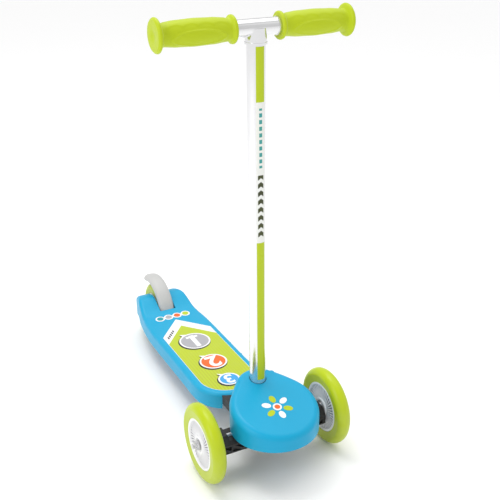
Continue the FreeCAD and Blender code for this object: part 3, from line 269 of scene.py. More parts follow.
@dataclass(frozen=True)
class Finish:
    """A moulded, painted or metal surface.

    The grain is in bumps per metre, and its depth in metres.
    """

    name: str
    shade: Shade
    roughness: float
    metallic: float = 0.0
    coat: float = 0.0
    grain: float = 900.0
    depth: float = 0.00004
    swell: float = 0.5
    scuffs: float = 0.10
    dust: float = 0.25
    sheen: float = 0.0
    glow: float = 0.0

    def colour(self, graph: Graph, place: bpy.types.NodeSocket) -> object:
        """Give the plain colour; finishes with a print replace this.

        Args:
            graph: the material's graph.
            place: the object coordinate.

        Returns:
            A colour, or the output socket that gives it.
        """
        return (*self.shade.value, 1.0)

    def material(self) -> bpy.types.Material:
        """Build the material once.

        Returns:
            The node-based material.
        """
        found = bpy.data.materials.get(self.name)
        if found:
            return found
        material = bpy.data.materials.new(self.name)
        material.use_nodes = True
        graph = Graph(material.node_tree)
        shader = material.node_tree.nodes["Principled BSDF"]
        place = graph.add("ShaderNodeTexCoord").outputs["Object"]
        grain = MouldGrain().place(graph, Vector=place, Scale=self.grain, Swell=self.swell)
        marks = HandlingMarks().place(graph, Vector=place, Amount=self.scuffs)
        dust = FloorDust().place(graph, Vector=place, Reach=0.11, Amount=self.dust)
        deep = tuple(0.86 * part for part in self.shade.value)
        base = self.colour(graph, place)
        drift = graph.math("MULTIPLY", grain.outputs["Patches"], 0.22)
        base = graph.blend(drift, base, (*deep, 1.0))
        base = graph.blend(dust.outputs["Mask"], base, (0.48, 0.45, 0.40, 1.0))
        graph.feed(shader, "Base Color", base)
        rough = graph.math("MULTIPLY_ADD", grain.outputs["Patches"], 0.14, self.roughness - 0.07)
        rough = graph.math("ADD", rough, marks.outputs["Mask"])
        rough = graph.math("ADD", rough, dust.outputs["Mask"])
        graph.feed(shader, "Roughness", rough)
        graph.feed(shader, "Metallic", self.metallic)
        graph.feed(shader, "Coat Weight", self.coat)
        graph.feed(shader, "Coat Roughness", 0.12)
        graph.feed(shader, "Specular IOR Level", 0.28)
        graph.feed(shader, "Sheen Weight", self.sheen)
        bump = graph.add("ShaderNodeBump")
        graph.feed(bump, "Strength", 0.6)
        graph.feed(bump, "Distance", self.depth)
        graph.feed(bump, "Height", grain.outputs["Height"])
        graph.feed(shader, "Normal", bump.outputs[0])
        return material


@dataclass(frozen=True)
class StripePrint(Finish):
    """A lime film with fine lengthwise pinstripes."""

    def colour(self, graph: Graph, place: bpy.types.NodeSocket) -> object:
        """Lay darker and warmer hairlines along the deck."""
        split = graph.add("ShaderNodeSeparateXYZ")
        graph.feed(split, 0, place)
        wave = graph.math("SINE", graph.math("MULTIPLY", split.outputs["X"], 2 * math.pi / 0.0052))
        line = graph.add("ShaderNodeMapRange")
        graph.feed(line, "Value", wave)
        graph.feed(line, "From Min", 0.72)
        graph.feed(line, "From Max", 0.86)
        front = graph.add("ShaderNodeMapRange")
        graph.feed(front, "Value", split.outputs["Y"])
        graph.feed(front, "From Min", 0.09)
        graph.feed(front, "From Max", -0.08)
        strength = graph.math("MULTIPLY", line.outputs[0], front.outputs[0])
        return graph.blend(strength, (*self.shade.value, 1.0), (0.42, 0.40, 0.01, 1.0))


@dataclass(frozen=True)
class HubWhitePaintedWebShade(Finish):
    """White hub plastic whose deep web between the fins is painted greyer, as shade.

    The hub's middle plane is given as its distance from the scooter's middle.
    """

    centre: float = 0.0
    # painted shade covers everything nearer than this to the hub's middle plane: the web and the fins' lower
    # parts
    floor: float = 0.0066

    def colour(self, graph: Graph, place: bpy.types.NodeSocket) -> object:
        """Grey the web under the fins' crests as painted shade."""
        split = graph.add("ShaderNodeSeparateXYZ")
        graph.feed(split, 0, place)
        away = graph.math("SUBTRACT", graph.math("ABSOLUTE", split.outputs["X"]), self.centre)
        # painted shade: the recessed web between the fins is greyed to stand for the shade there, the fins'
        # crests stay white
        deep = graph.math("LESS_THAN", graph.math("ABSOLUTE", away), self.floor)
        return graph.blend(deep, (*self.shade.value, 1.0), (0.33, 0.33, 0.35, 1.0))


@dataclass(frozen=True)
class BandPrint(Finish):
    """The column's film: lime, a white field with chevrons and dashes, then lime again."""

    field_low: float = 0.36
    field_high: float = 0.56
    pitch: float = 0.012

    def colour(self, graph: Graph, place: bpy.types.NodeSocket) -> object:
        """Band the film by height and mark the white field."""
        split = graph.add("ShaderNodeSeparateXYZ")
        graph.feed(split, 0, place)
        height = split.outputs["Z"]
        across = graph.math("ABSOLUTE", split.outputs["X"])
        above = graph.math("GREATER_THAN", height, self.field_low)
        below = graph.math("LESS_THAN", height, self.field_high)
        band = graph.blend(graph.math("MULTIPLY", above, below), (*self.shade.value, 1.0),
                           (*Shade.WHITE.value, 1.0))
        middle = self.field_low + 0.5 * (self.field_high - self.field_low)
        inside = graph.math("LESS_THAN", across, 0.0042)
        slant = graph.math("ADD", height, graph.math("MULTIPLY", across, 0.8))
        phase = graph.math("FRACT", graph.math("DIVIDE", slant, self.pitch))
        chevron = graph.math("LESS_THAN", phase, 0.55)
        low = graph.math("MULTIPLY", graph.math("GREATER_THAN", height, self.field_low + 0.008),
                         graph.math("LESS_THAN", height, middle))
        black = graph.math("MULTIPLY", graph.math("MULTIPLY", chevron, inside), low)
        band = graph.blend(black, band, (*Shade.BLACK.value, 1.0))
        dash = graph.math("LESS_THAN", graph.math("FRACT", graph.math("DIVIDE", height, 0.009)), 0.62)
        thin = graph.math("LESS_THAN", across, 0.0022)
        high = graph.math("MULTIPLY", graph.math("GREATER_THAN", height, middle + 0.010),
                          graph.math("LESS_THAN", height, self.field_high - 0.008))
        teal = graph.math("MULTIPLY", graph.math("MULTIPLY", dash, thin), high)
        return graph.blend(teal, band, (*Shade.TEAL.value, 1.0))


class Finishes(Enum):
    """The finish for each of the record's material slots, and for the printed inks."""

    LIME_TYRE = Finish("lime_tyre_finish", Shade.LIME, 0.36, coat=0.15, grain=700.0, dust=0.30)
    WHITE_PLASTIC = Finish("white_plastic_finish", Shade.WHITE, 0.30, coat=0.3, depth=0.00002)
    # the hub finishes paint grey shade on the web between the fins
    FRONT_HUB = HubWhitePaintedWebShade("front_hub_painted_shade_finish", Shade.WHITE, 0.30, coat=0.2, depth=0.00002, dust=0.1,
                         centre=0.10625)
    REAR_HUB = HubWhitePaintedWebShade("rear_hub_painted_shade_finish", Shade.WHITE, 0.30, coat=0.2, depth=0.00002, dust=0.1)
    BLACK_PLASTIC = Finish("black_plastic_finish", Shade.BLACK, 0.46, grain=1400.0, depth=0.00006, dust=0.22)
    BLUE_PLASTIC = Finish("blue_plastic_finish", Shade.BLUE, 0.40, coat=0.04, grain=1100.0, depth=0.00003,
                          dust=0.08)
    LIME_RUBBER = Finish("lime_rubber_finish", Shade.LIME, 0.48, grain=1300.0, depth=0.00006, sheen=0.1)
    BLACK_RUBBER = Finish("black_rubber_finish", Shade.BLACK, 0.7, grain=1500.0, depth=0.00008)
    GREY_PLASTIC = Finish("grey_plastic_finish", Shade.GREY, 0.40, coat=0.1, grain=1000.0, depth=0.00003)
    BEARING_STEEL = Finish("bearing_steel_finish", Shade.STEEL, 0.28, metallic=1.0, grain=2500.0,
                           depth=0.00001)
    ZINC_STEEL = Finish("zinc_steel_finish", Shade.STEEL, 0.36, metallic=1.0, grain=1800.0, depth=0.00002)
    CHROME_STEEL = Finish("chrome_steel_finish", Shade.CHROME, 0.14, metallic=1.0, grain=600.0, depth=0.00001)
    POLISHED_TUBE = Finish("polished_tube_finish", Shade.CHROME, 0.16, metallic=0.9, grain=500.0,
                           depth=0.00001)
    NYLON = Finish("nylon_finish", Shade.NYLON, 0.5)
    DECK_PRINT = StripePrint("deck_print_finish", Shade.LIME, 0.34, coat=0.2, depth=0.00001)
    STRIP_PRINT = BandPrint("strip_print_finish", Shade.LIME, 0.30, coat=0.3, depth=0.00001, dust=0.0)
    BADGE_PRINT = Finish("badge_print_finish", Shade.WHITE, 0.32, depth=0.00001)
    SPRING_STEEL = Finish("spring_steel_finish", Shade.STEEL, 0.32, metallic=1.0)
    INK_WHITE = Finish("ink_white", Shade.WHITE, 0.36, depth=0.00001)
    INK_BLACK = Finish("ink_black", Shade.BLACK, 0.34, depth=0.00001)
    INK_GREY = Finish("ink_grey", Shade.PRINT_GREY, 0.34, depth=0.00001)
    INK_ORANGE = Finish("ink_orange", Shade.ORANGE, 0.34, depth=0.00001)
    INK_BLUE = Finish("ink_blue", Shade.PRINT_BLUE, 0.34, depth=0.00001)
    INK_TEAL = Finish("ink_teal", Shade.TEAL, 0.34, depth=0.00001)
    INK_LIME = Finish("ink_lime", Shade.LIME, 0.34, depth=0.00001)


def dress_cad_nodes() -> None:
    """Give every CAD node the finish of its material slot."""
    slots = {entry["node"]: entry["material_slot"] for entry in frame["record"]["subparts"]}
    for name, item in frame["nodes"].items():
        item.data.materials.clear()
        finish = Finishes[slots[name].upper()]
        item.data.materials.append(finish.value.material())
        LOG.info("%s wears %s", name, slots[name])


def circle(centre: Point, radius: float, steps: int = 72) -> list[Point]:
    """Give the points of a circle, anticlockwise.

    Args:
        centre: the circle's centre.
        radius: its radius.
        steps: how many points it has.

    Returns:
        The points.
    """
    turn = [2 * math.pi * number / steps for number in range(steps)]
    return [(centre[0] + radius * math.cos(a), centre[1] + radius * math.sin(a)) for a in turn]


INK_SEAT = 0.00004
"""How far the underside of an upper ink stands above the film's plane, in metres."""

GLYPH_HALF = 0.00002
"""Half of a numeral's thickness, in metres."""


@dataclass
class InkStack:
    """Thin plates of ink stacked on a flat film.

    The film's plane has its origin and two directions, and each plate has its own low and high
    distance from that plane.
    """

    origin: Vector
    across: Vector
    along: Vector
    shell: bmesh.types.BMesh = field(default_factory=bmesh.new)
    inks: list[Finishes] = field(default_factory=list)
    under: BVHTree | None = None

    def point(self, spot: Point, height: float) -> Vector:
        """Place a point of the film in the row frame, on the surface under it where one is given.

        Args:
            spot: the point on the film, as (across, along).
            height: its distance above the film's plane or the surface.

        Returns:
            The point in the row frame.
        """
        normal = self.across.cross(self.along)
        place = self.origin + self.across * spot[0] + self.along * spot[1]
        if self.under:
            place = self.under.ray_cast(place + normal * 0.05, -normal, 0.1)[0] or place
        return place + normal * height

    def ink_number(self, ink: Finishes) -> int:
        """Give the ink's material number on this film.

        Args:
            ink: the ink to look up, or to add.

        Returns:
            Its number.
        """
        if ink not in self.inks:
            self.inks.append(ink)
        return self.inks.index(ink)

    def plate(self, outline: list[Point], low: float, high: float, ink: Finishes) -> None:
        """Add one closed plate.

        Args:
            outline: the plate's corners, anticlockwise.
            low: the plate's underside above the film's plane.
            high: the plate's top above the film's plane.
            ink: the ink it is printed in.
        """
        number = self.ink_number(ink)
        under = [self.shell.verts.new(self.point(spot, low)) for spot in outline]
        top = [self.shell.verts.new(self.point(spot, high)) for spot in outline]
        faces = [self.shell.faces.new(top), self.shell.faces.new(under[::-1])]
        for first, start in enumerate(under):
            after = (first + 1) % len(under)
            faces.append(self.shell.faces.new((start, under[after], top[after], top[first])))
        for face in faces:
            face.material_index = number

    def glyph(self, text: str, size: float, centre: Point, turn: float, high: float, ink: Finishes) -> None:
        """Add a numeral as a closed plate.

        Args:
            text: the numeral.
            size: its height in metres.
            centre: where its middle goes on the film.
            turn: its turn in radians.
            high: the top's distance above the film's plane.
            ink: the ink it is printed in.
        """
        curve = bpy.data.curves.new("glyph", "FONT")
        curve.body = text
        curve.size = size
        curve.offset = size * 0.028
        curve.extrude = GLYPH_HALF
        curve.align_x = "CENTER"
        curve.align_y = "CENTER"
        maker = bpy.data.objects.new("glyph", curve)
        bpy.context.scene.collection.objects.link(maker)
        bpy.context.view_layer.update()
        mesh = bpy.data.meshes.new_from_object(maker.evaluated_get(bpy.context.evaluated_depsgraph_get()))
        number = self.ink_number(ink)
        before = len(self.shell.verts)
        faces = len(self.shell.faces)
        self.shell.from_mesh(mesh)
        self.shell.verts.ensure_lookup_table()
        self.shell.faces.ensure_lookup_table()
        middle = Vector((0.0, 0.0))
        new = self.shell.verts[before:]
        middle.x = (min(v.co.x for v in new) + max(v.co.x for v in new)) / 2
        middle.y = (min(v.co.y for v in new) + max(v.co.y for v in new)) / 2
        for vert in new:
            flat = Matrix.Rotation(turn, 2) @ (vert.co.xy - middle)
            vert.co = self.point((centre[0] + flat.x, centre[1] + flat.y), high - GLYPH_HALF + vert.co.z)
        for face in self.shell.faces[faces:]:
            face.material_index = number
        bpy.data.objects.remove(maker)
        bpy.data.curves.remove(curve)
        bpy.data.meshes.remove(mesh)

    def piece(self, name: str) -> bpy.types.Object:
        """Close the stack into one object.

        Args:
            name: the piece's name.

        Returns:
            The object, with a material for each ink.
        """
        bmesh.ops.recalc_face_normals(self.shell, faces=self.shell.faces)
        mesh = bpy.data.meshes.new(name)
        self.shell.to_mesh(mesh)
        self.shell.free()
        for ink in self.inks:
            mesh.materials.append(ink.value.material())
        item = bpy.data.objects.new(name, mesh)
        bpy.context.scene.collection.objects.link(item)
        return item


@dataclass
class DeckFilm:
    """The printed film on the deck: a lime field under a white arrow, with three numbered discs."""

    half_width: float = 0.047
    nose_centre: float = -0.0615
    shoulder: float = 0.1045
    arrow_tip: float = 0.1595
    band: float = 0.027
    margin: float = 0.0006
    tick_start: float = -0.040
    tick_pitch: float = 0.0042
    tick_width: float = 0.0028
    ring_line: float = 0.1735
    ring_start: float = -0.0255
    ring_pitch: float = 0.017
    ring_outer: float = 0.0088
    ring_inner: float = 0.0060

    def nose(self, half_width: float) -> list[Point]:
        """Give the rounded front end, from one edge to the other.

        Args:
            half_width: the end's radius.

        Returns:
            Its points.
        """
        steps = [math.pi + math.pi * number / 40 for number in range(41)]
        return [(half_width * math.cos(a), self.nose_centre + half_width * math.sin(a)) for a in steps]

    def tail(self, stack: InkStack, centre: Point, radius: float, high: float, ink: Finishes) -> None:
        """Print the small pointer at a disc's rear edge.

        Args:
            stack: the ink stack to print on.
            centre: the disc's centre.
            radius: the disc's radius.
            high: the pointer's top above the film's plane.
            ink: the ink it is printed in.
        """
        corners = []
        for turn, reach in ((96, radius + 0.001), (118, radius + 0.011), (122, radius + 0.001)):
            angle = math.radians(turn)
            corners.append((centre[0] + reach * math.cos(angle), centre[1] + reach * math.sin(angle)))
        stack.plate(corners, INK_SEAT, high, ink)

    def disc(self, stack: InkStack, centre: Point, radius: float, text: str, ink: Finishes) -> None:
        """Print a numbered disc with a white rim and an offset black edge.

        Args:
            stack: the ink stack to print on.
            centre: the disc's centre.
            radius: the disc's radius inside its rim.
            text: the numeral on it.
            ink: the disc's ink.
        """
        shifted = (centre[0] - 0.0020, centre[1] - 0.0026)
        stack.plate(circle(shifted, radius + 0.0042), INK_SEAT, 0.00034, Finishes.INK_BLACK)
        self.tail(stack, shifted, radius, 0.00032, Finishes.INK_BLACK)
        self.tail(stack, centre, radius, 0.00036, Finishes.INK_WHITE)
        stack.plate(circle(centre, radius + 0.0030), INK_SEAT, 0.00038, Finishes.INK_WHITE)
        stack.plate(circle(centre, radius), INK_SEAT, 0.00042, ink)
        stack.glyph(text, radius * 2.25, centre, math.pi, 0.00046, Finishes.INK_WHITE)
        if text == "1":
            foot = centre[1] + radius * 0.62
            reach, half = radius * 0.44, radius * 0.12
            bar = [(centre[0] - reach, foot - half), (centre[0] + reach, foot - half),
                   (centre[0] + reach, foot + half), (centre[0] - reach, foot + half)]
            stack.plate(bar, INK_SEAT, 0.00045, Finishes.INK_WHITE)

    def build(self) -> bpy.types.Object:
        """Print the film.

        Returns:
            The finished piece.
        """
        low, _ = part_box("deck_sticker")
        deck = frame["nodes"]["deck_shell"].data
        surface = BVHTree.FromPolygons([vert.co for vert in deck.vertices],
                                       [tuple(face.vertices) for face in deck.polygons])
        stack = InkStack(Vector((0.0, 0.0, low[2])), Vector((1, 0, 0)), Vector((0, 1, 0)), under=surface)
        wide = self.half_width
        whole = [*self.nose(wide), (wide, self.shoulder), (0.0, self.arrow_tip), (-wide, self.shoulder)]
        stack.plate(whole, 0.0, 0.00026, Finishes.INK_WHITE)
        inner = wide - self.margin
        lime = [*self.nose(inner), (inner, self.shoulder - self.band),
                (0.0, self.arrow_tip - self.band), (-inner, self.shoulder - self.band)]
        stack.plate(lime, 0.00002, 0.00030, Finishes.DECK_PRINT)
        self.disc(stack, (0.0, 0.0685), 0.025, "1", Finishes.INK_GREY)
        self.disc(stack, (0.0, -0.0115), 0.021, "2", Finishes.INK_ORANGE)
        self.disc(stack, (0.0, -0.0750), 0.0155, "3", Finishes.INK_BLUE)
        for number in range(5):
            x = self.tick_start + self.tick_pitch * number
            far = x + self.tick_width
            y = self.shoulder + (x + wide) / wide * (self.arrow_tip - self.shoulder) - 0.0135
            bar = [(x, y - 0.004), (far, y - 0.004), (far, y + 0.0035), (x, y + 0.0035)]
            stack.plate(bar, INK_SEAT, 0.00032, Finishes.INK_BLACK)
        inks = (Finishes.INK_TEAL, Finishes.INK_GREY, Finishes.INK_ORANGE, Finishes.INK_LIME)
        for number, ink in enumerate(inks):
            spot = (self.ring_start + self.ring_pitch * number, self.ring_line)
            stack.plate(circle(spot, self.ring_outer), 0.0, 0.00030, Finishes.INK_WHITE)
            stack.plate(circle(spot, self.ring_inner), INK_SEAT, 0.00075, ink)
        piece = stack.piece("deck_film")
        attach(piece, "deck_frame")
        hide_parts("deck_sticker")
        return piece


@dataclass
class CoverMark:
    """A plain mark printed on the sloping front cover: petals about a ring."""

    slope: float = math.radians(13.6)
    reach: float = 0.0165
    petal_half_length: float = 0.0072
    petal_half_width: float = 0.0048
    half_thickness: float = 0.00015

    def build(self) -> bpy.types.Object:
        """Print the mark on the cover's slope.

        Returns:
            The finished piece.
        """
        low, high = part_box("cover_badge")
        middle = (Vector(low) + Vector(high)) / 2
        stack = InkStack(middle, Vector((1, 0, 0)), Vector((0, math.cos(self.slope), math.sin(self.slope))))
        for number in range(6):
            turn = math.radians(60 * number + 30)
            ink = Finishes.INK_LIME if number % 2 else Finishes.INK_WHITE
            spot = (self.reach * math.cos(turn), self.reach * math.sin(turn))
            petal = []
            for along, aside in circle((0.0, 0.0), 1.0, 40):
                reach, side = self.petal_half_length * along, self.petal_half_width * aside
                petal.append((spot[0] + reach * math.cos(turn) - side * math.sin(turn),
                              spot[1] + reach * math.sin(turn) + side * math.cos(turn)))
            stack.plate(petal, -self.half_thickness, self.half_thickness, ink)
        stack.plate(circle((0.0, 0.0), 0.0070), -self.half_thickness, self.half_thickness,
                    Finishes.INK_WHITE)
        stack.plate(circle((0.0, 0.0), 0.0044), -0.00012, 0.00019, Finishes.INK_ORANGE)
        piece = stack.piece("cover_mark")
        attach(piece, "deck_frame")
        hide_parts("cover_badge")
        return piece


def lofted(name: str, rows: list[list[Vector]], around: bool, finish: Finishes) -> bpy.types.Object:
    """Skin a closed solid over rows of points.

    Args:
        name: the piece's name.
        rows: rows of equal length; each row is a closed section when around is set.
        around: whether the first and last rows meet as well.
        finish: the finish it wears.

    Returns:
        The smooth-shaded object.
    """
    shell = bmesh.new()
    grid = [[shell.verts.new(point) for point in row] for row in rows]
    for number in range(len(grid) if around else len(grid) - 1):
        first, second = grid[number], grid[(number + 1) % len(grid)]
        for step in range(len(first)):
            after = (step + 1) % len(first)
            shell.faces.new((first[step], first[after], second[after], second[step]))
    if not around:
        shell.faces.new(grid[0][::-1])
        shell.faces.new(grid[-1])
    bmesh.ops.remove_doubles(shell, verts=shell.verts, dist=1e-7)
    bmesh.ops.recalc_face_normals(shell, faces=shell.faces)
    mesh = bpy.data.meshes.new(name)
    shell.to_mesh(mesh)
    shell.free()
    mesh.materials.append(finish.value.material())
    for face in mesh.polygons:
        face.use_smooth = True
    mesh.set_sharp_from_angle(angle=math.radians(35))
    item = bpy.data.objects.new(name, mesh)
    bpy.context.scene.collection.objects.link(item)
    return item


@dataclass
class FinTree:
    """A Geometry Nodes tree that sets fins in a ring about the X axis."""

    name: str = "fin_ring"
    sizes: tuple[tuple[str, float], ...] = (("Inner", 0.014), ("Outer", 0.037), ("Thickness", 0.0011),
                                            ("Depth", 0.002), ("Face", 0.0075), ("Slant", 0.25))

    def build(self) -> bpy.types.NodeTree:
        """Build the tree once.

        Returns:
            The node group, whose inputs are the ring's sizes, its count and its material.
        """
        found = bpy.data.node_groups.get(self.name)
        if found:
            return found
        tree = bpy.data.node_groups.new(self.name, "GeometryNodeTree")
        tree.interface.new_socket("Geometry", in_out="INPUT", socket_type="NodeSocketGeometry")
        for label, size in self.sizes:
            socket = tree.interface.new_socket(label, in_out="INPUT", socket_type="NodeSocketFloat")
            socket.default_value = size
        tree.interface.new_socket("Count", in_out="INPUT", socket_type="NodeSocketInt").default_value = 36
        tree.interface.new_socket("Material", in_out="INPUT", socket_type="NodeSocketMaterial")
        tree.interface.new_socket("Geometry", in_out="OUTPUT", socket_type="NodeSocketGeometry")
        graph = Graph(tree)
        entry, leave = graph.add("NodeGroupInput"), graph.add("NodeGroupOutput")
        length = graph.math("SUBTRACT", entry.outputs["Outer"], entry.outputs["Inner"])
        ends = graph.math("ADD", entry.outputs["Outer"], entry.outputs["Inner"])
        middle = graph.math("MULTIPLY", ends, 0.5)
        size = graph.add("ShaderNodeCombineXYZ")
        graph.feed(size, 0, entry.outputs["Depth"])
        graph.feed(size, 1, length)
        graph.feed(size, 2, entry.outputs["Thickness"])
        fin = graph.add("GeometryNodeMeshCube")
        graph.feed(fin, "Size", size.outputs[0])
        line = graph.add("GeometryNodeMeshLine")
        graph.feed(line, "Count", entry.outputs["Count"])
        turn = graph.math("DIVIDE", 2 * math.pi, entry.outputs["Count"])
        turn = graph.math("MULTIPLY", turn, graph.add("GeometryNodeInputIndex").outputs[0])
        spot = graph.add("ShaderNodeCombineXYZ")
        graph.feed(spot, 0, entry.outputs["Face"])
        graph.feed(spot, 1, graph.math("MULTIPLY", middle, graph.math("COSINE", turn)))
        graph.feed(spot, 2, graph.math("MULTIPLY", middle, graph.math("SINE", turn)))
        move = graph.add("GeometryNodeSetPosition")
        graph.feed(move, "Geometry", line.outputs[0])
        graph.feed(move, "Position", spot.outputs[0])
        lean = graph.add("ShaderNodeCombineXYZ")
        graph.feed(lean, 0, graph.math("ADD", turn, entry.outputs["Slant"]))
        ring = graph.add("GeometryNodeInstanceOnPoints")
        graph.feed(ring, "Points", move.outputs[0])
        graph.feed(ring, "Instance", fin.outputs[0])
        graph.feed(ring, "Rotation", lean.outputs[0])
        real = graph.add("GeometryNodeRealizeInstances")
        graph.feed(real, 0, ring.outputs[0])
        joined = graph.add("GeometryNodeJoinGeometry")
        graph.feed(joined, 0, real.outputs[0])
        graph.feed(joined, 0, entry.outputs["Geometry"])
        dress = graph.add("GeometryNodeSetMaterial")
        graph.feed(dress, "Geometry", joined.outputs[0])
        graph.feed(dress, "Material", entry.outputs["Material"])
        graph.feed(leave, 0, dress.outputs[0])
        return tree


@dataclass
class Hub:
    """A white hub: rim, dished web with raised fins on both faces, and a bearing boss."""

    side: str
    body: str
    fins: int = 40
    bore: float = 0.011
    boss: float = 0.0145
    boss_face: float = 0.0099
    web_face: float = 0.0060
    rim_half: float = 0.0095
    fin_thickness: float = 0.0017
    fin_depth: float = 0.0028
    fin_face: float = 0.0064
    fin_slant: float = 0.22

    def profile(self, rim: float, half: float) -> list[Point]:
        """Give the turned section.

        Args:
            rim: the hub's outer radius.
            half: half of the rim's width.

        Returns:
            The section's (radius, along) points.
        """
        inner = rim - 0.0042
        outer = [(self.bore, self.boss_face), (self.boss - 0.0006, self.boss_face), (self.boss, 0.0093),
                 (self.boss + 0.001, self.web_face), (inner - 0.004, self.web_face),
                 (inner - 0.001, 0.0064), (inner, half - 0.0006),
                 (inner + 0.0006, half), (rim - 0.0008, half), (rim, half - 0.0008)]
        return outer + [(radius, -along) for radius, along in reversed(outer)]

    def build(self) -> bpy.types.Object:
        """Turn the hub and set its fins.

        Returns:
            The finished piece.
        """
        low, high = (Vector(corner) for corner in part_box(f"{self.side}_hub"))
        middle = (low + high) / 2
        rim = (high.z - low.z) / 2
        section = self.profile(rim, self.rim_half)
        rows = []
        for step in range(96):
            turn = 2 * math.pi * step / 96
            rows.append([Vector((along, radius * math.cos(turn), radius * math.sin(turn)))
                         for radius, along in section])
        finish = Finishes.REAR_HUB if self.side == "rear" else Finishes.FRONT_HUB
        item = lofted(f"{self.side}_finned_hub", rows, True, finish)
        for sign in (1, -1):
            modifier = item.modifiers.new("fins", "NODES")
            modifier.node_group = FinTree().build()
            sizes = {"Inner": self.boss - 0.0004, "Outer": rim - 0.0038, "Thickness": self.fin_thickness,
                     "Depth": self.fin_depth, "Face": sign * self.fin_face,
                     "Slant": sign * self.fin_slant, "Count": self.fins, "Material": finish.value.material()}
            for socket in modifier.node_group.interface.items_tree:
                if socket.in_out == "INPUT" and socket.name in sizes:
                    modifier[socket.identifier] = sizes[socket.name]
        bpy.context.view_layer.update()
        made = bpy.data.meshes.new_from_object(item.evaluated_get(bpy.context.evaluated_depsgraph_get()))
        item.modifiers.clear()
        item.data = made
        made.transform(Matrix.Translation(middle))
        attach(item, self.body)
        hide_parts(f"{self.side}_hub")
        return item


@dataclass
class Grip:
    """A soft grip: flanges, a barrel belly, a scalloped finger edge and a raised palm pad."""

    side: str
    flange_in: float = 0.0182
    flange_out: float = 0.0217
    neck: float = 0.0142
    belly: float = 0.0166

    def radius(self, share: float) -> float:
        """Give the plain barrel's radius.

        Args:
            share: the share of the length from the inner end.

        Returns:
            The radius in metres.
        """
        ends = [(0.0, self.flange_in - 0.0014), (0.008, self.flange_in - 0.0004), (0.02, self.flange_in),
                (0.036, self.flange_in - 0.0004), (0.048, self.flange_in - 0.0018),
                (0.062, self.neck + 0.0006), (0.085, self.neck + 0.0002), (0.28, 0.0160),
                (0.5, self.belly), (0.72, 0.0158),
                (0.90, self.neck), (0.925, self.neck + 0.0006), (0.942, self.flange_out - 0.0022),
                (0.955, self.flange_out - 0.0004), (0.97, self.flange_out), (0.985, self.flange_out - 0.0006),
                (1.0, self.flange_out - 0.0026)]
        for (first, low), (second, high) in zip(ends, ends[1:]):
            if share <= second:
                part = (share - first) / (second - first)
                if second - first > 0.05:
                    part = part * part * (3 - 2 * part)
                return low + (high - low) * part
        return ends[-1][1]

    def relief(self, share: float, turn: float) -> float:
        """Give the moulded detail's height at a spot of the barrel.

        Args:
            share: the share of the length from the inner end.
            turn: the turn about the bar, 0 at the front.

        Returns:
            The height in metres.
        """
        if not 0.09 < share < 0.89:
            return 0.0
        fade = min(1.0, (share - 0.09) / 0.03, (0.89 - share) / 0.03)
        edge = 0.62 + 0.20 * abs(math.sin(math.pi * (share - 0.11) / 0.19))
        away = turn - edge
        ledge = 0.0007 / (1 + math.exp(-away / 0.035)) * (1 / (1 + math.exp((turn - 2.3) / 0.05)))
        pad = ((share - 0.48) / 0.33) ** 2 + ((turn + 0.30) / 0.62) ** 2
        ridge = 0.0009 * math.exp(-((pad - 1.0) / 0.16) ** 2)
        return fade * (ledge + ridge)

    def build(self) -> bpy.types.Object:
        """Mould the grip.

        Returns:
            The finished piece.
        """
        low, high = (Vector(corner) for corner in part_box(f"{self.side}_grip"))
        middle, sign = (low + high) / 2, 1 if self.side == "left" else -1
        near, far = (low.x, high.x) if sign > 0 else (high.x, low.x)
        rows, steps = [], 120
        for share in [number / 220 for number in range(221)]:
            x = near + (far - near) * share
            row = []
            for step in range(steps):
                turn = -math.pi + 2 * math.pi * step / steps
                reach = self.radius(share) + self.relief(share, turn)
                row.append(Vector((x, middle.y - reach * math.cos(turn), middle.z + reach * math.sin(turn))))
            rows.append(row)
        dimple = ((0.0150, 0.0), (0.0090, 0.0002), (0.0062, 0.0010), (0.0030, 0.0018), (0.0006, 0.0020))
        for reach, back in dimple:
            x = far - sign * back
            rows.append([Vector((x, middle.y - reach * math.cos(-math.pi + 2 * math.pi * step / steps),
                                 middle.z + reach * math.sin(-math.pi + 2 * math.pi * step / steps)))
                         for step in range(steps)])
        item = lofted(f"{self.side}_moulded_grip", rows, False, Finishes.LIME_RUBBER)
        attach(item, "deck_frame")
        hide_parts(f"{self.side}_grip")
        return item


@dataclass
class Fender:
    """The crowned rear fender that is also the foot brake."""

    middle: Point = (0.2605, 0.047)
    radius: float = 0.0640
    half_width: float = 0.0145
    wall: float = 0.0026
    first: float = math.radians(14)
    last: float = math.radians(124)
    lift: float = 0.0015
    side_drop: float = 0.0085
    inside_share: float = 0.90
    taper_start: float = 0.87
    tip_least: float = 0.012

    def section(self, turn: float, width: float) -> list[Vector]:
        """Give the closed section at a turn about the wheel.

        Args:
            turn: the turn, from the front of the wheel upwards.
            width: half of the section's width.

        Returns:
            The section's points, over the outside and back along the inside.
        """
        points = []
        for outside in (1, 0):
            spots = [number / 12 - 1 for number in range(25)]
            for spot in spots if outside else spots[::-1]:
                across = width * math.sin(spot * math.pi / 2)
                drop = self.side_drop * (1 - math.cos(spot * math.pi / 2)) ** 1.2
                reach = self.radius + (self.wall if outside else 0.0) + self.lift - drop
                across *= 1.0 if outside else self.inside_share
                points.append(Vector((across, self.middle[0] + reach * math.cos(math.pi - turn),
                                      self.middle[1] + reach * math.sin(math.pi - turn))))
        return points

    def build(self) -> bpy.types.Object:
        """Mould the fender.

        Returns:
            The finished piece.
        """
        rows, steps = [], 90
        for step in range(steps + 1):
            share = step / steps
            turn = self.first + (self.last - self.first) * share
            tip = max(0.0, (share - self.taper_start) / (1 - self.taper_start))
            width = self.half_width * math.sqrt(max(self.tip_least, 1 - tip * tip))
            rows.append(self.section(turn, width))
        item = lofted("crowned_fender", rows, False, Finishes.GREY_PLASTIC)
        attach(item, "brake")
        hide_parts("rear_fender")
        return item


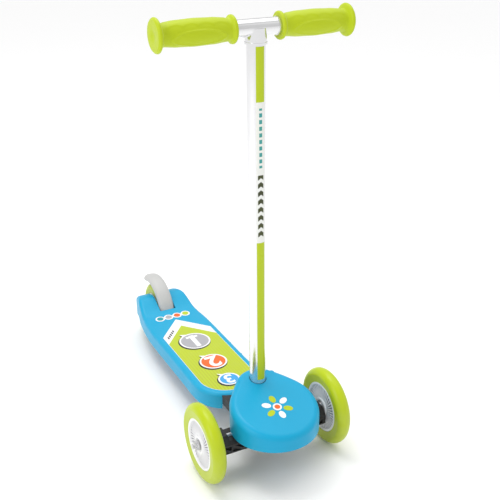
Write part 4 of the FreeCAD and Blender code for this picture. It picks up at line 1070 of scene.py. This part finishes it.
@dataclass
class Studio:
    """The pale floor, the soft lights and the camera."""

    eye: Vector = field(default_factory=lambda: Vector((-0.50857, -1.17290, 0.83929)))
    azimuth: float = math.radians(-28.78)
    elevation: float = math.radians(26.57)
    roll: float = math.radians(0.43)
    lens: float = 61.23
    shift: Point = (-0.0587, 0.0784)

    def floor(self) -> None:
        """Lay the plain floor."""
        mesh = bpy.data.meshes.new("floor")
        mesh.from_pydata([(-40, -40, 0), (40, -40, 0), (40, 40, 0), (-40, 40, 0)], [], [(0, 1, 2, 3)])
        item = bpy.data.objects.new("floor", mesh)
        material = bpy.data.materials.new("floor")
        material.use_nodes = True
        shader = material.node_tree.nodes["Principled BSDF"]
        shader.inputs["Base Color"].default_value = (0.97, 0.97, 0.97, 1)
        shader.inputs["Roughness"].default_value = 0.75
        mesh.materials.append(material)
        bpy.context.scene.collection.objects.link(item)

    def light(self, name: str, place: Point, height: float, size: float, power: float) -> None:
        """Hang one square soft light aimed at the scooter's middle.

        Args:
            name: the light's name.
            place: where it hangs over the floor.
            height: how high it hangs.
            size: its side.
            power: its power in watts.
        """
        data = bpy.data.lights.new(name, "AREA")
        data.size = size
        data.energy = power
        item = bpy.data.objects.new(name, data)
        item.location = (*place, height)
        aim = Vector((0, 0, 0.2)) - item.location
        item.rotation_euler = aim.to_track_quat("-Z", "Y").to_euler()
        bpy.context.scene.collection.objects.link(item)

    def sky(self, strength: float) -> None:
        """Hang a very soft distant light over everything.

        Args:
            strength: the light's strength.
        """
        data = bpy.data.lights.new("sky", "SUN")
        data.energy = strength
        data.angle = math.radians(60)
        item = bpy.data.objects.new("sky", data)
        item.rotation_euler = (math.radians(-14), math.radians(12), 0.0)
        bpy.context.scene.collection.objects.link(item)

    def camera(self) -> None:
        """Stand the camera at its fitted place."""
        a, e = self.azimuth, self.elevation
        back = Vector((math.sin(a) * math.cos(e), -math.cos(a) * math.cos(e), math.sin(e)))
        right = Vector((math.cos(a), math.sin(a), 0.0))
        up = back.cross(right)
        turn = Matrix.Rotation(self.roll, 3, back)
        axes = Matrix((turn @ right, turn @ up, back)).transposed()
        data = bpy.data.cameras.new("camera")
        data.lens = self.lens
        data.sensor_width = 36.0
        data.shift_x, data.shift_y = self.shift
        item = bpy.data.objects.new("camera", data)
        item.matrix_world = Matrix.Translation(self.eye) @ axes.to_4x4()
        bpy.context.scene.collection.objects.link(item)
        bpy.context.scene.camera = item

    def build(self) -> None:
        """Set the whole studio up."""
        self.floor()
        self.light("key", (-2.1, -0.7), 1.5, 1.4, 16.0)
        self.light("fill", (1.6, -0.8), 1.4, 1.8, 2.5)
        self.light("top", (-0.3, 0.6), 2.2, 1.0, 12.0)
        self.sky(0.9)
        world = bpy.data.worlds.new("studio")
        world.use_nodes = True
        world.node_tree.nodes["Background"].inputs[0].default_value = (1, 1, 1, 1)
        world.node_tree.nodes["Background"].inputs[1].default_value = 0.72
        bpy.context.scene.world = world
        bpy.context.scene.view_settings.view_transform = "Standard"
        self.camera()


def main() -> None:
    """Build the scooter's shown pieces in order."""
    logging.basicConfig(level=logging.INFO, format="%(name)s: %(message)s")
    Studio().build()
    dress_cad_nodes()
    makers = (DeckFilm(), CoverMark(), Hub("left", "left_wheel"), Hub("right", "right_wheel"),
              Hub("rear", "rear_wheel", fins=32), Grip("left"), Grip("right"), Fender())
    for maker in makers:
        piece = maker.build()
        LOG.info("%s has %d faces", piece.name, len(piece.data.polygons))


if __name__ == "__main__":
    main()
